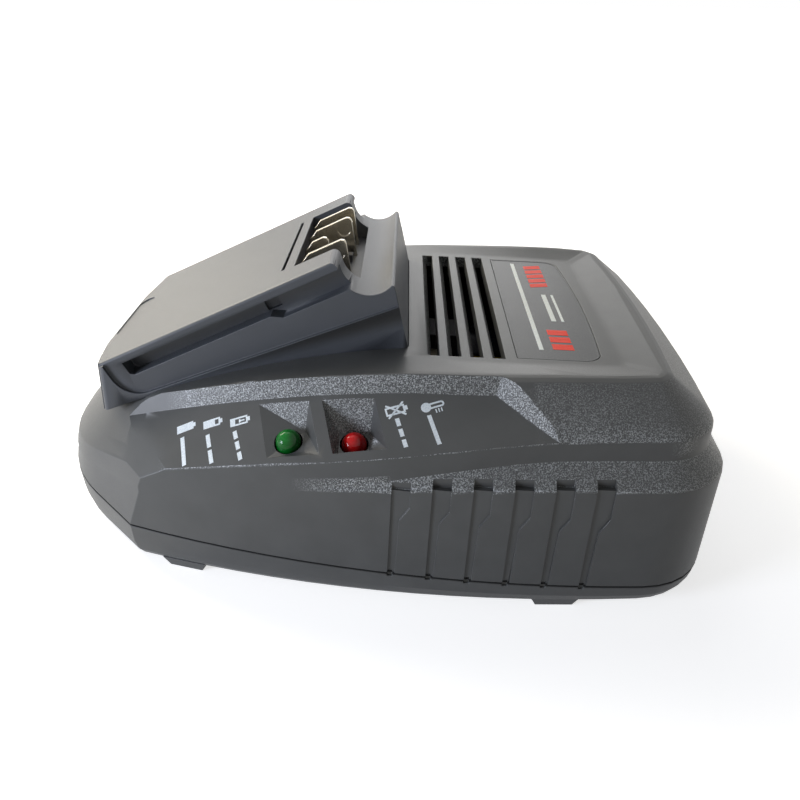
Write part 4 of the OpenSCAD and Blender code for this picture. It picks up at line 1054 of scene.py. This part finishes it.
class CHARGER_OT_inner_parts(bpy.types.Operator):
    """Give the parts inside the housing their finishes"""
    bl_idname = "charger.inner_parts"
    bl_label = "Inner parts"

    def execute(self, context):
        finishes = {
            "steel": metal("tinned_steel", (0.6, 0.6, 0.6), 0.3),
            "board": etched_board("solder_mask", COLOUR_OF["board"]),
            "ferrite": smooth_plastic("ferrite", COLOUR_OF["ferrite"], 0.7, 0.3 * MM, 0.03 * MM),
            "bobbin": smooth_plastic("bobbin", COLOUR_OF["bobbin"], 0.45),
            "copper": wound_wire("enamelled_copper", COLOUR_OF["copper"], 0.5 * MM),
            "sleeve": smooth_plastic("can_sleeve", COLOUR_OF["sleeve"], 0.25),
            "film_case": smooth_plastic("film_case", COLOUR_OF["film_case"], 0.4),
            "epoxy": smooth_plastic("moulded_epoxy", COLOUR_OF["epoxy"], 0.5, 0.2 * MM, 0.015 * MM),
            "ceramic": smooth_plastic("lacquered_ceramic", COLOUR_OF["ceramic"], 0.35, 0.8 * MM, 0.03 * MM),
            "heat_sink": metal("rolled_aluminium", COLOUR_OF["heat_sink"], 0.38, stretch=(1, 1, 0.1)),
            "fuse_glass": smooth_plastic("fuse_glass", COLOUR_OF["fuse_glass"], 0.12),
            "white_plastic": smooth_plastic("white_case", COLOUR_OF["white_plastic"], 0.4),
            "wire": smooth_plastic("wire_cover", COLOUR_OF["wire"], 0.4, 0.3 * MM, 0.01 * MM),
        }
        for name, node in NODES.items():
            if SLOT_OF[name] in finishes:
                for holder in node.material_slots:
                    holder.material = finishes[SLOT_OF[name]]
        return {"FINISHED"}


class CHARGER_OT_stage(bpy.types.Operator):
    """Set the floor, the lamps, the room light and the camera"""
    bl_idname = "charger.stage"
    bl_label = "Stage"

    # Places and sizes in metres, turns in degrees
    camera_at = (0.0082349, -0.205, 0.1354619)
    camera_turn = (61.410231, -0.748356, 0.649889)
    # Each lamp: name, place, side, the setting that gives its power, and its colour. All face one point.
    lamps = (
        ("key_lamp", (-0.55, 0.5, 0.5), 0.5, "key", (1, 0.92, 0.76)),
        ("side_lamp", (-0.42, -0.28, 0.12), 0.16, "side", (0.79, 0.85, 1)),
        ("back_lamp", (0, 0.9, 0.3), 0.5, "back", (1, 1, 1)),
        ("top_lamp", (-0.15, 0.35, 0.75), 0.5, "top", (1, 1, 1)),
    )
    aim = (0, 0, 0.03)
    # The floor: its side, how far out it starts to brighten and is white, and how bright it is near
    # the charger and in a mirror
    floor_side = 8
    bright = (0.15, 0.8)
    near_white = 0.72
    mirror_white = 0.45

    def execute(self, context):
        stage = context.scene.charger_stage
        self.floor(stage)
        self.room(context.scene, stage)
        for name, at, side, setting, colour in self.lamps:
            self.lamp(name, at, side, getattr(stage, setting), colour)
        deselect()
        bpy.ops.object.camera_add(location=self.camera_at, rotation=[radians(a) for a in self.camera_turn])
        camera = bpy.context.object
        camera.name = "camera"
        camera.data.lens = stage.lens
        camera.data.sensor_width = 36
        camera.data.clip_start = 0.01
        context.scene.camera = camera
        context.scene.view_settings.view_transform = "Standard"
        return {"FINISHED"}

    def seen_bright(self, tree):
        """1 for a ray from the camera, a mirror or glass, else 0."""
        path = tree.nodes.new("ShaderNodeLightPath")
        total = path.outputs["Is Camera Ray"]
        for name in ("Is Glossy Ray", "Is Transmission Ray"):
            most = tree.nodes.new("ShaderNodeMath")
            most.operation = "MAXIMUM"
            tree.links.new(total, most.inputs[0])
            tree.links.new(path.outputs[name], most.inputs[1])
            total = most.outputs[0]
        return total

    def floor(self, stage):
        deselect()
        bpy.ops.mesh.primitive_plane_add(size=self.floor_side, location=(0, 0, 0))
        floor = added("studio_floor")
        f = Finish("studio_floor")
        path = f.add("ShaderNodeLightPath").outputs
        white = f.times(path["Is Camera Ray"], f.span(f.length(f.place), *self.bright, self.near_white, 1.0))
        mirrored = f.times(path["Is Glossy Ray"], self.mirror_white)
        f.set(
            Base_Color=f.blend(f.noise(0.4, 2), shade(tuple(stage.floor), 0.99), tuple(stage.floor)),
            Roughness=f.spread(f.noise(0.05, 2), 0.85, 0.95),
            Specular_IOR_Level=0.1,
            Emission_Color=(1, 1, 1, 1),
            Emission_Strength=f.math("ADD", white, mirrored),
        )
        floor.data.materials.append(f.material)

    def room(self, scene, stage):
        world = bpy.data.worlds.new("room")
        scene.world = world
        world.use_nodes = True
        tree = world.node_tree
        tree.nodes.clear()
        output = tree.nodes.new("ShaderNodeOutputWorld")
        mix = tree.nodes.new("ShaderNodeMixShader")
        soft, white = (tree.nodes.new("ShaderNodeBackground") for _ in range(2))
        soft.inputs["Color"].default_value = white.inputs["Color"].default_value = (1, 1, 1, 1)
        soft.inputs["Strength"].default_value = stage.fill
        tree.links.new(self.seen_bright(tree), mix.inputs[0])
        tree.links.new(soft.outputs[0], mix.inputs[1])
        tree.links.new(white.outputs[0], mix.inputs[2])
        tree.links.new(mix.outputs[0], output.inputs["Surface"])

    def lamp(self, name, at, side, power, colour):
        """A square lamp that shines on the middle of the charger."""
        deselect()
        direction = Vector(self.aim) - Vector(at)
        bpy.ops.object.light_add(
            type="AREA", location=at, rotation=direction.to_track_quat("-Z", "Y").to_euler())
        lamp = bpy.context.object
        lamp.name = name
        lamp.data.shape = "SQUARE"
        lamp.data.size = side
        lamp.data.energy = power
        lamp.data.color = colour


class CHARGER_PT_sidebar(bpy.types.Panel):
    """Lists the charger's pieces in the order in which they are made"""
    bl_idname = "CHARGER_PT_sidebar"
    bl_label = "Charger"
    bl_space_type = "VIEW_3D"
    bl_region_type = "UI"
    bl_category = "Charger"

    def draw(self, context):
        layout = self.layout
        for group in (context.scene.charger_shape, context.scene.charger_finish, context.scene.charger_stage):
            box = layout.box()
            for name in group.__annotations__:
                box.prop(group, name)
        column = layout.column()
        for step in STEPS:
            column.operator(step.bl_idname)


STEPS = (
    CHARGER_OT_stage,
    CHARGER_OT_housing,
    CHARGER_OT_dock,
    CHARGER_OT_terminals,
    CHARGER_OT_indicators,
    CHARGER_OT_panel_print,
    CHARGER_OT_label_plate,
    CHARGER_OT_cord_entry,
    CHARGER_OT_fasteners,
    CHARGER_OT_inner_parts,
)
GROUPS = {"charger_shape": ChargerShape, "charger_finish": ChargerFinish, "charger_stage": ChargerStage}


def register():
    for name, group in GROUPS.items():
        bpy.utils.register_class(group)
        setattr(bpy.types.Scene, name, PointerProperty(type=group))
    for step in STEPS:
        bpy.utils.register_class(step)
    bpy.utils.register_class(CHARGER_PT_sidebar)


def unregister():
    bpy.utils.unregister_class(CHARGER_PT_sidebar)
    for step in reversed(STEPS):
        bpy.utils.unregister_class(step)
    for name, group in GROUPS.items():
        delattr(bpy.types.Scene, name)
        bpy.utils.unregister_class(group)


def main():
    register()
    for step in STEPS:
        family, name = step.bl_idname.split(".")
        getattr(getattr(bpy.ops, family), name)()
    bpy.context.view_layer.update()


if __name__ == "__main__":
    main()
